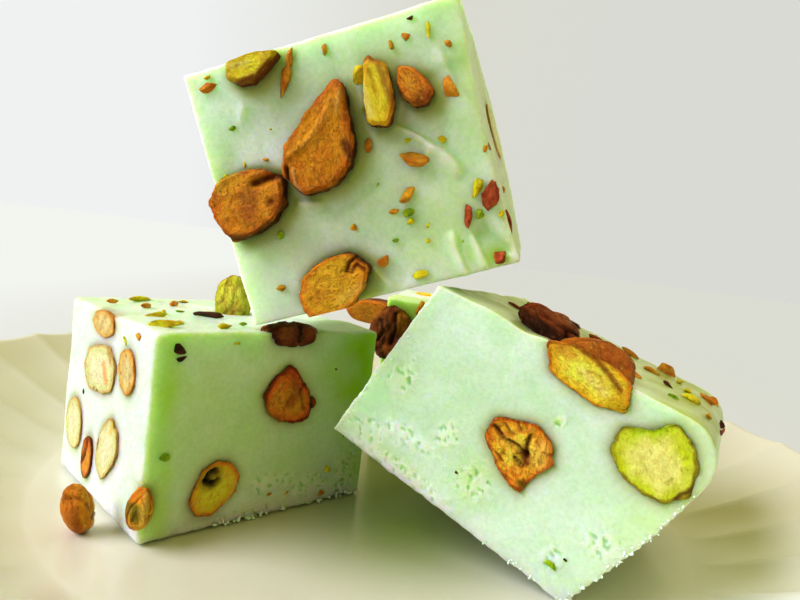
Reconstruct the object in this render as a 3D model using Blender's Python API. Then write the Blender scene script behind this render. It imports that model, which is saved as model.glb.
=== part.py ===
"""Four blocks of pistachio fudge piled on a shallow fluted dish, with one loose nut beside them.

The named sizes are millimetres. Meshes, locations and gaps are metres, by way of MM.
The dish stands on Z = 0 with its centre on the Z axis, and the pile is seen from -Y.
"""

import math
from dataclasses import dataclass, field

import bmesh
import bpy
from mathutils import Matrix, Vector, noise

MM = 0.001

# ---------------------------------------------------------------- driving sizes
GAP = 0.3                    # clear space kept between pieces that touch
FLUSH = 0.2                  # how far a nut that was sliced with its block stands out of the cut

DISH_RADIUS = 75.0           # centre to the outside of the rim
RIM_HEIGHT = 18.0            # table to the top of the rim
WELL_RADIUS = 47.5           # flat middle of the dish
WELL_HEIGHT = 6.0            # table to the flat middle
FOOT_OUTER = 44.5
FOOT_INNER = 41.0
FOOT_HEIGHT = 2.2
WALL = 3.4                   # thickness of the sloping wall
FLUTES = 38
STEPS_PER_FLUTE = 3
FLUTE_DEPTH = 0.9            # a ridge above the groove beside it
RIM_SCALLOP = 0.5            # how far a groove carries the rim outwards

FLOOR = WELL_HEIGHT + GAP    # where the blocks stand
BLOCK_CELLS = 8              # grid cells along each side of a block
EDGE_RADIUS = 0.9            # cut edges of a block
CUT_RELIEF = 0.22            # hollows in a sliced face
POURED_RELIEF = 0.75         # swirls in a poured face
TOOTH = 0.45                 # ragged bottom edge of the leaning block
NUT_SEGMENTS = 10
NUT_RINGS = 5
POCKET_GROWTH = 0.4          # a pocket round its nut, which leaves about GAP between their facets
NUT_LUMPS = 0.07             # share of its size by which a nut is uneven
SHARPEST = 2.2               # longest step out to a pocket's corner, as a share of POCKET_GROWTH
STRAIGHT = 0.31              # how far below its middle a slanting nut starts to slant, as a share

MINT = (0.66, 0.85, 0.62, 1.0)
CREAM = (0.78, 0.74, 0.61, 1.0)
BROWN = (0.46, 0.20, 0.03, 1.0)
DARK = (0.16, 0.05, 0.02, 1.0)
GREEN = (0.62, 0.60, 0.06, 1.0)
PALE = (0.85, 0.74, 0.30, 1.0)


@dataclass
class Block:
    """A sliced block. Local X runs along its front, Y goes into it and Z up it, from its lower left."""

    name: str
    place: tuple             # lower left front corner, on the dish
    yaw: float
    size: tuple
    pitch: float = 0.0
    tilt: float = 0.0
    poured: str = "top"      # the face that set in the tray, with swirls
    lean: tuple = (0.0, 0.0)     # shift of the upper left corner along X, and of the upper right
    swell: float = 0.0       # extra height at the right
    belly: tuple = (0.0, 0.0)    # how far the right side bulges between its edges, at the front and back
    skew: float = 0.0        # shift of the whole back along X
    shoulder: float = 0.0    # radius of the upper right edge, where it is an outer edge of the slab
    ragged: bool = False
    seed: float = 0.0

    def warp(self, point):
        """Move a point of the true box to its place in the uneven block."""
        width, depth, height = self.size
        x, y, z = point
        across, deep, up = x / width, y / depth, z / height
        shift = up * (self.lean[0] * (1 - across) + self.lean[1] * across) + self.skew * deep
        belly = self.belly[0] * (1 - deep) + self.belly[1] * deep
        bulge = belly * math.sin(math.pi * up) * across ** 4
        return Vector((x + shift + bulge, y, z + self.swell * across * up))

    def settle(self, point):
        """Lift a point that would sink into the dish up to where the block stands on it."""
        frame = self.matrix()
        placed = frame @ (point * MM)
        placed.z = max(placed.z, FLOOR * MM)
        return (frame.inverted() @ placed) / MM

    def over_shoulder(self, spot):
        """Carry a spot on the top round the shoulder, and return the angle that it has turned by."""
        start = self.size[0] - self.shoulder
        if not self.shoulder or spot.x <= start:
            return 0.0
        angle = (spot.x - start) / self.shoulder
        spot.x = start + self.shoulder * math.sin(angle)
        spot.z -= self.shoulder * (1 - math.cos(angle))
        return angle

    def matrix(self):
        turn = (Matrix.Rotation(math.radians(self.yaw), 4, "Z")
                @ Matrix.Rotation(math.radians(self.pitch), 4, "X")
                @ Matrix.Rotation(math.radians(self.tilt), 4, "Y"))
        return Matrix.Translation(Vector(self.place) * MM) @ turn


@dataclass
class Nut:
    """A kernel on one face of its block, at u across and v up that face."""

    name: str
    face: str
    u: float
    v: float
    length: float
    width: float
    thick: float
    turn: float = 0.0        # degrees, of its length from the face's own across
    lift: float = 0.0        # its middle above the face
    taper: float = 0.0       # how much narrower the far end is
    notch: tuple = ()        # degrees round it and depth, of a dent in its outline
    outline: tuple = ()      # radii in equal steps round it from its length, in place of an oval
    slant: tuple = (0.0, 0.0)    # how far its buried end is shifted along its length and across it
    sliced: bool = False     # cut flat with the face
    trim: tuple = ()         # other faces that slice it
    stands: bool = False     # its length points out of the face
    colour: tuple = BROWN


@dataclass
class Chip:
    """A crumb of nut, fused to one face of its block."""

    face: str
    u: float
    v: float
    length: float
    width: float
    turn: float = 0.0
    lift: float = 0.0
    stands: bool = False


@dataclass
class Piece:
    block: Block
    nuts: list = field(default_factory=list)
    chips: list = field(default_factory=list)


# ---------------------------------------------------------------- the pile
LEFT = Piece(
    Block("fudge_left", (-25.1, -30.4, FLOOR), 45.1, (33.9, 28.5, 25.4), seed=1.0),
    [
        Nut("nut_left_drop", "front", 19.2, 15.9, 9.2, 8.6, 6.0, turn=97, sliced=True,
            outline=(4.9, 4.2, 4.5, 3.8, 3.3, 3.4, 4.3, 4.5, 2.9, 3.0)),
        Nut("nut_left_heart", "front", 9.1, 5.5, 7.6, 6.6, 6.0, turn=55, sliced=True, colour=PALE,
            outline=(3.6, 3.4, 3.0, 2.6, 3.4, 3.9, 3.6, 2.8, 3.3, 3.6)),
        Nut("nut_left_corner", "front", 0.3, 4.7, 5.0, 3.2, 4.0, turn=80, lift=-0.3),
        Nut("nut_left_rim", "top", 19.0, 1.7, 8.6, 5.2, 3.2, lift=-1.0, trim=("front",), colour=DARK),
        Nut("nut_left_standing", "top", 17.6, 14.8, 7.6, 5.4, 3.2, turn=50, lift=1.4, stands=True,
            colour=GREEN),
        Nut("nut_left_oval", "left", 15.8, 17.4, 11.4, 6.2, 6.0, turn=-13, sliced=True, colour=PALE,
            outline=(5.5, 4.4, 3.2, 3.4, 5.0, 5.6, 4.5, 3.1, 3.1, 4.7)),
        Nut("nut_left_round", "left", 6.9, 19.0, 5.6, 4.8, 4.4, turn=80, sliced=True, colour=PALE),
        Nut("nut_left_almond", "left", 11.1, 8.1, 9.0, 6.2, 5.0, turn=100, sliced=True, colour=PALE,
            outline=(4.4, 3.1, 2.8, 3.2, 4.2, 4.5, 2.8, 2.7, 3.5, 4.2)),
        Nut("nut_left_far", "left", 23.6, 7.8, 7.2, 6.0, 5.0, turn=85, sliced=True, colour=PALE),
        Nut("nut_left_small", "left", 17.6, 4.8, 6.0, 3.6, 3.6, turn=100, sliced=True),
        Nut("nut_left_brim", "left", 15.6, 23.3, 7.4, 3.4, 4.0, sliced=True, trim=("top",)),
        Nut("nut_left_inner", "right", 15.0, 11.0, 9.0, 6.4, 5.0, turn=30, sliced=True, colour=PALE),
        Nut("nut_left_behind", "back", 12.0, 9.0, 10.0, 7.0, 6.0, turn=-25, sliced=True, colour=GREEN),
        Nut("nut_left_back", "back", 25.0, 17.0, 8.4, 6.2, 6.0, turn=60, sliced=True),
    ],
    [
        Chip("top", 7.8, 24.6, 3.4, 1.4, 20), Chip("top", 2.6, 3.4, 4.0, 1.6, -35),
        Chip("top", 4.4, 10.0, 2.8, 1.4, -20), Chip("top", 11.5, 20.5, 1.9, 1.3, 40),
        Chip("top", 12.4, 10.4, 5.0, 1.3, -42), Chip("top", 9.8, 2.6, 2.2, 1.2, 10),
        Chip("top", 27.0, 22.0, 2.4, 1.5, 60), Chip("front", 2.9, 23.2, 2.0, 1.2, -30),
        Chip("front", 2.6, 10.5, 1.5, 1.2), Chip("front", 27.0, 4.7, 1.6, 1.2, 60),
        Chip("front", 26.4, 1.6, 1.6, 1.1),
    ])

RIGHT = Piece(
    Block("fudge_right", (-5.5, -19.4, 19.7), -21.0, (34.2, 32.7, 24.0), tilt=23.1, lean=(2.8, 5.2),
          swell=2.8, belly=(0.9, 0.9), skew=5.0, shoulder=5.8, ragged=True, seed=2.0),
    [
        Nut("nut_right_cracked", "front", 18.9, 11.4, 9.4, 8.2, 6.5, turn=-60, sliced=True,
            outline=(5.1, 3.4, 4.1, 4.1, 3.9, 3.5, 4.6, 4.3, 3.1, 3.5)),
        Nut("nut_right_green", "front", 29.3, 18.2, 9.8, 8.9, 6.5, turn=-50, sliced=True, colour=GREEN,
            outline=(4.7, 4.9, 4.1, 4.3, 4.6, 3.7, 4.9, 4.7, 4.0, 3.8)),
        Nut("nut_right_rim", "front", 19.2, 22.3, 11.2, 5.0, 7.0, turn=-10, sliced=True, colour=GREEN,
            outline=(5.4, 4.4, 2.9, 2.4, 3.2, 5.2, 4.0, 2.4, 2.2, 3.2), slant=(0.5, 3.8)),
        Nut("nut_right_top", "top", 11.6, 5.4, 8.2, 5.2, 4.2, turn=-4, lift=0.6, colour=DARK),
        Nut("nut_right_end", "right", 17.0, 10.0, 9.4, 6.6, 5.6, turn=35, sliced=True, colour=PALE),
        Nut("nut_right_behind", "back", 11.0, 10.0, 10.0, 6.8, 6.0, turn=20, sliced=True),
        Nut("nut_right_back", "back", 25.0, 14.0, 9.0, 7.2, 6.0, turn=-50, sliced=True, colour=GREEN),
        Nut("nut_right_inner", "left", 20.0, 12.0, 8.6, 6.0, 5.0, turn=60, sliced=True, colour=PALE),
    ],
    [
        Chip("top", 23.0, 29.4, 3.4, 2.4, 10), Chip("top", 4.4, 24.0, 2.6, 1.5, 30),
        Chip("top", 9.6, 28.6, 2.6, 1.4, 20), Chip("top", 31.0, 27.6, 2.6, 1.8, -20, lift=-0.4),
        Chip("top", 15.5, 20.0, 2.4, 1.5, 70), Chip("top", 28.0, 12.0, 2.2, 1.3, 15),
        Chip("front", 30.0, 2.8, 1.8, 1.2, -30), Chip("top", 34.6, 24.0, 2.8, 1.8, 60, lift=-0.5),
    ])

TOP = Piece(
    Block("fudge_top", (-16.7, -20.7, FLOOR + 25.4), -4.3, (34.2, 23.7, 31.7), pitch=4.3, tilt=-21.3,
          poured="front", belly=(-0.8, 0.5), skew=2.4, seed=3.0),
    [
        Nut("nut_top_drop", "front", 14.6, 19.2, 14.6, 8.6, 4.6, turn=58, lift=0.5,
            outline=(8.3, 4.2, 3.3, 4.2, 5.7, 6.2, 4.9, 4.3, 4.1, 4.5)),
        Nut("nut_top_left", "front", 4.1, 15.0, 10.6, 8.2, 4.6, turn=20, lift=0.3,
            outline=(5.5, 4.3, 3.8, 4.2, 4.7, 4.5, 5.1, 3.8, 3.9, 4.5)),
        Nut("nut_top_foot", "front", 11.6, 3.0, 10.6, 6.6, 4.6, turn=12, lift=0.3, trim=("bottom",),
            outline=(5.2, 4.4, 3.3, 3.1, 3.7, 4.9, 4.1, 3.2, 3.3, 3.9)),
        Nut("nut_top_slice", "front", 22.7, 23.1, 8.5, 4.4, 3.8, turn=95, lift=0.7, colour=GREEN,
            outline=(4.5, 2.0, 1.6, 2.0, 3.8, 4.0, 2.4, 1.8, 2.0, 3.4)),
        Nut("nut_top_round", "front", 27.0, 22.9, 5.7, 3.8, 3.6, turn=115, lift=0.3,
            outline=(2.8, 2.0, 1.8, 1.8, 2.4, 2.6, 2.5, 1.7, 1.5, 2.0)),
        Nut("nut_top_brow", "front", 8.7, 30.0, 7.4, 3.5, 3.4, turn=12, lift=0.4, trim=("top",), colour=GREEN,
            outline=(4.2, 1.9, 1.4, 1.5, 2.9, 3.1, 2.3, 1.8, 1.6, 2.0)),
        Nut("nut_top_crown", "top", 21.0, 12.5, 9.4, 6.6, 5.6, turn=35, sliced=True, colour=PALE),
        Nut("nut_top_side", "left", 13.0, 13.0, 8.6, 6.0, 5.4, turn=70, sliced=True, colour=PALE),
        Nut("nut_top_end", "right", 14.0, 17.0, 8.2, 6.2, 5.2, turn=-40, sliced=True, colour=GREEN),
        Nut("nut_top_behind", "back", 11.0, 10.0, 10.4, 7.0, 6.0, turn=-30, sliced=True),
        Nut("nut_top_back", "back", 23.0, 21.0, 9.2, 6.8, 6.0, turn=50, sliced=True, colour=PALE),
    ],
    [
        Chip("front", 12.1, 27.7, 4.0, 1.6, 66), Chip("front", 24.8, 14.8, 4.4, 1.8, -18),
        Chip("front", 32.7, 8.5, 4.2, 2.4, 70), Chip("front", 29.8, 7.0, 2.9, 1.5, 78),
        Chip("front", 31.4, 21.7, 3.0, 1.6, 80), Chip("front", 2.9, 29.6, 2.0, 1.4, 10),
        Chip("front", 19.9, 18.0, 1.9, 1.0, 70), Chip("front", 22.9, 11.2, 2.4, 1.4, 25),
        Chip("front", 22.6, 9.2, 1.7, 1.2, -40), Chip("front", 18.0, 4.2, 1.8, 1.3, 40),
        Chip("front", 22.4, 1.6, 2.4, 1.0, 5), Chip("front", 32.0, 1.5, 2.0, 1.4, 70),
        Chip("front", 4.9, 3.9, 1.3, 1.0, 0), Chip("front", 27.4, 28.6, 1.4, 0.9, -60),
    ])

BACK = Piece(
    Block("fudge_back", (-1.3, 13.9, FLOOR), -8.0, (28.0, 24.0, 29.0), seed=4.0),
    [
        Nut("nut_back_dark", "front", 1.7, 22.4, 9.6, 7.6, 4.8, turn=80, lift=0.8, colour=DARK),
        Nut("nut_back_gold", "left", 4.9, 25.2, 10.6, 4.8, 4.4, turn=10, lift=2.8, stands=True),
        Nut("nut_back_crown", "top", 15.5, 14.0, 10.2, 7.0, 4.8, turn=25, lift=-1.4),
        Nut("nut_back_peak", "top", 6.0, 18.0, 7.8, 5.6, 4.4, turn=-50, lift=-1.9, colour=GREEN),
        Nut("nut_back_end", "right", 12.0, 16.0, 8.8, 6.4, 5.4, turn=30, sliced=True, colour=PALE),
        Nut("nut_back_behind", "back", 9.0, 11.0, 9.6, 7.0, 5.8, turn=55, sliced=True, colour=GREEN),
        Nut("nut_back_back", "back", 19.5, 20.0, 8.4, 6.0, 5.4, turn=-15, sliced=True),
        Nut("nut_back_side", "left", 15.0, 10.0, 9.0, 6.2, 5.4, turn=-30, sliced=True, colour=PALE),
    ],
    [
        Chip("front", 6.4, 27.4, 2.4, 1.5, 75), Chip("top", 22.0, 6.0, 2.8, 1.6, 30),
        Chip("top", 11.0, 6.5, 2.6, 1.5, -30), Chip("back", 14.0, 5.0, 2.2, 1.4, 10),
    ])

PILE = (LEFT, RIGHT, TOP, BACK)

LOOSE_NUT = Nut("nut_loose", "", 0.0, 0.0, 6.0, 4.0, 3.8, taper=-0.15)
LOOSE_NUT_PLACE = (-33.0, -28.4, WELL_HEIGHT + 3.2)      # its middle, standing on its small end
LOOSE_NUT_LEAN = (12.0, 74.0, 35.0)                      # degrees about X, Y and Z

# Each face of a block: the axis it stands on, the side of the block, its across axis and its up axis
FACES = {
    "front": (1, -1, 0, 2),
    "back": (1, 1, 0, 2),
    "left": (0, -1, 1, 2),
    "right": (0, 1, 1, 2),
    "top": (2, 1, 0, 1),
    "bottom": (2, -1, 0, 1),
}


# ---------------------------------------------------------------- helpers
def clear_scene():
    for thing in list(bpy.data.objects):
        bpy.data.objects.remove(thing)


def make_collection(name):
    group = bpy.data.collections.new(name)
    bpy.context.scene.collection.children.link(group)
    return group


def make_material(name, colour, roughness, subsurface=0.0):
    material = bpy.data.materials.new(name)
    material.use_nodes = True
    shader = material.node_tree.nodes["Principled BSDF"]
    shader.inputs["Base Color"].default_value = colour
    shader.inputs["Roughness"].default_value = roughness
    shader.inputs["Metallic"].default_value = 0.0
    shader.inputs["Subsurface Weight"].default_value = subsurface
    return material


def make_object(name, shape, group, material=None, smooth=40.0):
    """Turn a bmesh in millimetres into an object in metres, and free the bmesh."""
    bmesh.ops.scale(shape, vec=(MM, MM, MM), verts=shape.verts)
    bmesh.ops.recalc_face_normals(shape, faces=shape.faces)
    mesh = bpy.data.meshes.new(name)
    shape.to_mesh(mesh)
    shape.free()
    mesh.shade_smooth()
    mesh.set_sharp_from_angle(angle=math.radians(smooth))
    thing = bpy.data.objects.new(name, mesh)
    group.objects.link(thing)
    if material:
        mesh.materials.append(material)
    return thing


def hide_cutter(thing):
    thing.hide_render = True
    thing.display_type = "WIRE"


# ---------------------------------------------------------------- dish
def dish_profile():
    """Half section of the dish from the middle of its well, over the rim, to under its middle."""
    rise = RIM_HEIGHT - WELL_HEIGHT
    reach = DISH_RADIUS - WELL_RADIUS
    inside = [(WELL_RADIUS + reach * along, WELL_HEIGHT + rise * up)
              for along, up in ((0.0, 0.0), (0.14, 0.07), (0.42, 0.33), (0.72, 0.67), (0.96, 1.0))]
    outside = [(DISH_RADIUS, RIM_HEIGHT - 1.1)]
    outside += [(WELL_RADIUS + reach * along, WELL_HEIGHT - WALL + rise * up)
                for along, up in ((0.76, 0.62), (0.42, 0.24), (0.06, 0.0))]
    foot = [(FOOT_OUTER, 0.0), (FOOT_INNER, 0.0), (FOOT_INNER - 1.0, FOOT_HEIGHT)]
    return [(0.0, WELL_HEIGHT)] + inside + outside + foot + [(0.0, FOOT_HEIGHT)]


def flute(point):
    """Press the radial flutes into the sloping wall, deeper towards the rim."""
    radius = math.hypot(point.x, point.y)
    if radius <= WELL_RADIUS + 0.01:
        return point
    angle = math.atan2(point.y, point.x)
    along = (radius - WELL_RADIUS) / (DISH_RADIUS - WELL_RADIUS)
    phase = (angle * FLUTES / (2 * math.pi)) % 1.0
    groove = math.sin(math.pi * phase) * min(1.0, 2.2 * along)
    scale = 1.0 + RIM_SCALLOP * groove * along / radius
    return Vector((point.x * scale, point.y * scale, point.z - FLUTE_DEPTH * groove))


def make_dish(group):
    shape = bmesh.new()
    verts = [shape.verts.new((radius, 0.0, height)) for radius, height in dish_profile()]
    edges = [shape.edges.new(pair) for pair in zip(verts, verts[1:])]
    bmesh.ops.spin(shape, geom=verts + edges, cent=(0, 0, 0), axis=(0, 0, 1), angle=2 * math.pi,
                   steps=FLUTES * STEPS_PER_FLUTE, use_merge=True)
    bmesh.ops.remove_doubles(shape, verts=shape.verts, dist=0.01)
    for vert in shape.verts:
        vert.co = flute(vert.co)
    glaze = make_material("cream glaze", CREAM, 0.18)
    return make_object("dish", shape, group, glaze)


# ---------------------------------------------------------------- blocks
def squeeze(value, cells, half, radius):
    """Map a grid value in -1..1 to a distance, with the outermost row as deep as the edge radius."""
    row = 1.0 - 2.0 / cells
    if abs(value) <= row + 1e-6:
        return value / row * (half - radius)
    return math.copysign(half, value)


def round_shoulder(x, z, width, height, radius):
    """Turn the square upper right corner of a section into an arc."""
    if not radius:
        return x, z
    side, up = x - (width - radius), z - (height - radius)
    if side <= 0 or up <= 0:
        return x, z
    reach = max(side, up) / math.hypot(side, up)
    return width - radius + side * reach, height - radius + up * reach


def relief(block, point, out):
    """How deep the surface lies under the true block here: swirls where poured, dents where cut."""
    axis, side = FACES[block.poured][:2]
    here = point + Vector((17.0, 5.0, 11.0)) * block.seed
    if out[axis] * side > 0.7:
        bend = noise.noise(here * 0.09) * 5.0
        swirl = noise.noise(Vector((here.x + bend, here.y - bend, here.z + bend)) * 0.16)
        return POURED_RELIEF * (0.5 + 0.5 * swirl)
    return CUT_RELIEF * (0.5 + 0.5 * noise.noise(here * 0.22))


def ragged_tooth(block, point, grid):
    """Every other vertex of the right-hand bottom edges sticks out, as a torn edge does."""
    on_side = point.x > block.size[0] - 0.1 or point.z < 0.1
    front = point.y < EDGE_RADIUS
    if block.ragged and on_side and front and round(sum(grid) * BLOCK_CELLS) % 4 == 0:
        return -TOOTH
    return 0.0


def make_block(block, group, material):
    halves = Vector(block.size) / 2
    shape = bmesh.new()
    bmesh.ops.create_cube(shape, size=2.0)
    bmesh.ops.subdivide_edges(shape, edges=shape.edges, cuts=BLOCK_CELLS - 1, use_grid_fill=True)
    for vert in shape.verts:
        grid = vert.co.copy()
        box = Vector([squeeze(grid[i], BLOCK_CELLS, halves[i], EDGE_RADIUS) for i in range(3)])
        core = Vector([max(-halves[i] + EDGE_RADIUS, min(halves[i] - EDGE_RADIUS, box[i])) for i in range(3)])
        out = (box - core).normalized()
        point = core + out * EDGE_RADIUS + halves
        point.x, point.z = round_shoulder(point.x, point.z, block.size[0], block.size[2], block.shoulder)
        depth = relief(block, point, out) + ragged_tooth(block, point, grid)
        vert.co = block.settle(block.warp(point - out * depth))
    thing = make_object(block.name, shape, group, material)
    thing.matrix_world = block.matrix()
    return thing


# ---------------------------------------------------------------- nuts and chips
def face_frame(block, item):
    """Local frame of a nut or chip on its face: X along its length, Z out of the block."""
    axis, side, across, up = FACES[item.face]
    spot, out, along = Vector((0, 0, 0)), Vector((0, 0, 0)), Vector((0, 0, 0))
    spot[across], spot[up] = item.u, item.v
    spot[axis] = block.size[axis] if side > 0 else 0.0
    out[axis] = side
    turn = math.radians(item.turn)
    along[across], along[up] = math.cos(turn), math.sin(turn)
    if item.face == "top":
        over = Matrix.Rotation(block.over_shoulder(spot), 3, "Y")
        out, along = over @ out, over @ along
    beside = out.cross(along)
    middle = block.warp(spot) + out * item.lift
    if item.stands:
        along, out = out, -along
    axes = Matrix((along, beside, out)).transposed().to_4x4()
    return Matrix.Translation(middle * MM) @ axes


def outline_reach(outline, angle):
    """Radius of an outline at an angle, straight between its given radii."""
    place = angle / (2 * math.pi) * len(outline)
    first = math.floor(place + 1e-4)
    share = place - first
    return outline[first % len(outline)] * (1 - share) + outline[(first + 1) % len(outline)] * share


def kernel_point(nut, unit):
    """Where a point of the unit sphere lies on a kernel, about the kernel's own middle."""
    x, y, z = unit
    half = Vector((nut.length, nut.width, nut.thick)) / 2
    seed = Vector((len(nut.name), nut.length, nut.width)) * 3.1
    lump = 1.0 + NUT_LUMPS * noise.noise(unit * 1.6 + seed)
    if nut.outline:
        wide = outline_reach(nut.outline, math.atan2(y, x))
        buried = max(0.0, -z - STRAIGHT) / (1 - STRAIGHT)
        return Vector((wide * x + nut.slant[0] * buried, wide * y + nut.slant[1] * buried, half.z * z * lump))
    if nut.notch:
        off = math.remainder(math.atan2(y, x) - math.radians(nut.notch[0]), 2 * math.pi)
        lump -= nut.notch[1] * math.exp(-(off / 0.35) ** 2) * math.hypot(x, y)
    return Vector((half.x * x, half.y * y * (1.0 - nut.taper * x), half.z * z)) * lump


def kernel_shape(nut, grow=0.0):
    """A lumpy kernel about its own middle. grow makes its pocket, clear of it by that much all round."""
    shape = bmesh.new()
    bmesh.ops.create_uvsphere(shape, u_segments=NUT_SEGMENTS, v_segments=NUT_RINGS, radius=1.0)
    bmesh.ops.triangulate(shape, faces=shape.faces)
    for vert in shape.verts:
        vert.co = kernel_point(nut, vert.co)
    shape.normal_update()
    steps = [vert.normal * grow * min(SHARPEST, vert.calc_shell_factor()) for vert in shape.verts]
    for vert, step in zip(shape.verts, steps):
        vert.co += step
    return shape


def slice_kernel(shape, block, nut, grow=0.0):
    """Flatten what stands out of the faces that were cut with the nut in them."""
    frame = face_frame(block, nut)
    frame.translation /= MM
    back = frame.inverted()
    cuts = list(nut.trim) + ([nut.face] if nut.sliced else [])
    for vert in shape.verts:
        spot = frame @ vert.co
        for face in cuts:
            axis, side, across, up = FACES[face]
            edge = spot.copy()
            edge[axis] = block.size[axis] if side > 0 else 0.0
            limit = block.warp(edge)[axis] if side > 0 else 0.0
            reach = limit + side * (FLUSH + grow)
            spot[axis] = min(spot[axis], reach) if side > 0 else max(spot[axis], reach)
        vert.co = back @ spot


def make_nut(block, nut, parent, group, cutters, materials):
    """The kernel, and the pocket that it sits in."""
    for grow, folder in ((0.0, group), (POCKET_GROWTH, cutters)):
        shape = kernel_shape(nut, grow)
        slice_kernel(shape, block, nut, grow)
        bmesh.ops.remove_doubles(shape, verts=shape.verts, dist=0.005)
        name = nut.name if not grow else nut.name + "_pocket"
        thing = make_object(name, shape, folder, None if grow else materials[nut.colour])
        thing.parent = parent
        thing.matrix_local = face_frame(block, nut)
        if grow:
            hide_cutter(thing)


def make_chip(block, chip, parent, group, number):
    shape = bmesh.new()
    bmesh.ops.create_icosphere(shape, subdivisions=1, radius=0.5)
    bmesh.ops.scale(shape, vec=(chip.length, chip.width, chip.width), verts=shape.verts)
    thing = make_object(f"{block.name}_chip_{number}", shape, group)
    thing.parent = parent
    thing.matrix_local = face_frame(block, chip)
    return thing


def add_boolean(thing, folder, operation):
    step = thing.modifiers.new(operation.lower(), "BOOLEAN")
    step.operation = operation
    step.operand_type = "COLLECTION"
    step.collection = folder
    step.solver = "EXACT"
    return step


def fuse_chips(thing, block, chips):
    """Join the chips to their block with one union, apply it and drop the loose chips."""
    folder = make_collection(block.name + "_chips")
    parts = [make_chip(block, chip, thing, folder, number) for number, chip in enumerate(chips)]
    step = add_boolean(thing, folder, "UNION")
    bpy.context.view_layer.update()
    evaluated = thing.evaluated_get(bpy.context.evaluated_depsgraph_get())
    joined = bpy.data.meshes.new_from_object(evaluated)
    thing.modifiers.remove(step)
    joined.set_sharp_from_angle(angle=math.radians(25))
    thing.data = joined
    for part in parts:
        bpy.data.objects.remove(part)
    bpy.data.collections.remove(folder)


def make_piece(piece, group, fudge, materials):
    block = piece.block
    thing = make_block(block, group, fudge)
    bpy.context.view_layer.update()
    cutters = make_collection(block.name + "_pockets")
    for nut in piece.nuts:
        make_nut(block, nut, thing, group, cutters, materials)
    fuse_chips(thing, block, piece.chips)
    add_boolean(thing, cutters, "DIFFERENCE")


def make_loose_nut(group, material):
    thing = make_object(LOOSE_NUT.name, kernel_shape(LOOSE_NUT), group, material)
    thing.location = Vector(LOOSE_NUT_PLACE) * MM
    thing.rotation_euler = [math.radians(angle) for angle in LOOSE_NUT_LEAN]


def main():
    clear_scene()
    group = make_collection("pistachio_fudge_dish")
    fudge = make_material("mint fudge", MINT, 0.5, subsurface=0.15)
    materials = {
        BROWN: make_material("toasted nut", BROWN, 0.55),
        DARK: make_material("dark nut skin", DARK, 0.5),
        GREEN: make_material("green nut", GREEN, 0.5),
        PALE: make_material("pale nut", PALE, 0.5),
    }
    make_dish(group)
    for piece in PILE:
        make_piece(piece, group, fudge, materials)
    make_loose_nut(group, materials[BROWN])


main()
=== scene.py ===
"""The looks of a dish of pistachio fudge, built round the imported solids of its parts.

Named sizes are millimetres, and meshes are metres in the part's frame, by way of MM. Colours are
written as they look on a screen, 0 to 255, and made linear by colour().
"""
import itertools
import math
from dataclasses import dataclass, field

import bmesh
import bpy
import numpy as np
from mathutils import Matrix, Vector, noise


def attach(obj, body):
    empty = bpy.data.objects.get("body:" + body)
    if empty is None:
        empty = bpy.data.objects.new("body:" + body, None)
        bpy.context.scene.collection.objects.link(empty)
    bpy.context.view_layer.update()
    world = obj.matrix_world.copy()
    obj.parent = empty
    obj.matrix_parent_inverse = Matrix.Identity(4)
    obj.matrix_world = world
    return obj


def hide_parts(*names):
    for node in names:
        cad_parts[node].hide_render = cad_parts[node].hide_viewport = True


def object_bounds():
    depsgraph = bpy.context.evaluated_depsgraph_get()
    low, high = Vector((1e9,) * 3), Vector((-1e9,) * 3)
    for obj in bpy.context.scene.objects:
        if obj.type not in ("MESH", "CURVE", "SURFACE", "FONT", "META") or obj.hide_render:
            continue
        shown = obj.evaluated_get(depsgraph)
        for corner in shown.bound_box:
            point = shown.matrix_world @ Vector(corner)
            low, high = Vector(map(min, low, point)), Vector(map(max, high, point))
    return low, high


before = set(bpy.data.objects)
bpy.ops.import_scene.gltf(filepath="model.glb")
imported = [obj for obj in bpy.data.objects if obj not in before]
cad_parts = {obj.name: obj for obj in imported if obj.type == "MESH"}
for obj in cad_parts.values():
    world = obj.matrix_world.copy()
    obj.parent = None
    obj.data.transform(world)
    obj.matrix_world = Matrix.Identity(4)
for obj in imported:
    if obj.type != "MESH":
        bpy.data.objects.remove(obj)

CAD_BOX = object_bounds()
MM = 0.001

# ---------------------------------------------------------------- sizes of the solids
GAP = 0.3                    # clear space between the solids
FLUSH = 0.12                 # how far a nut that was sliced with its block stands out of the cut
DISH_RADIUS = 75.0
RIM_HEIGHT = 18.0
WELL_RADIUS = 47.5
WELL_HEIGHT = 6.0
FLOOR = WELL_HEIGHT + GAP    # where the blocks stand
CEILING = CAD_BOX[1].z / MM - 0.02    # just under the top of the solids
GLAZE_SINK = 0.03            # the glazed well lies this far under the blocks
FOOT_OUTER = 44.5
FOOT_INNER = 41.0
FOOT_HEIGHT = 2.2
FOOT_EDGE = 0.35             # bevel of the foot ring
WALL = 3.4
FLUTES = 38
FLUTE_DEPTH = 0.75
RIM_SCALLOP = 0.3
RIM_ROUND = 0.95             # half the width of the rounded rim
RIM_DROP = 1.15              # how far the middle of that round lies under RIM_HEIGHT
RIM_CROWN = 1.05             # height of the round over its middle
CUT_RELIEF = 0.22            # hollows in a sliced face
POURED_RELIEF = 0.75         # swirls in a poured face
POURED_SINK = 5.0            # how far below a poured face its swirls die out
FOLD_STEEP = 0.5             # width of a fold on its steep side, as a share of the width it is given
FOLD_GENTLE = 1.6            # and on the other side
SEED_STEP = (17.0, 5.0, 11.0)    # from one block's place in the noise to the next one's
NUT_LUMPS = 0.07             # unevenness of a kernel, as a share of its size
NUT_LUMP_SCALE = 1.6
NUT_SEED_STEP = 3.1
STRAIGHT = 0.31              # how far below its middle a slanting nut starts to slant, as a share
PIT = 1.7                    # how far a sliced face is hollowed under the nuts in it
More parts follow.
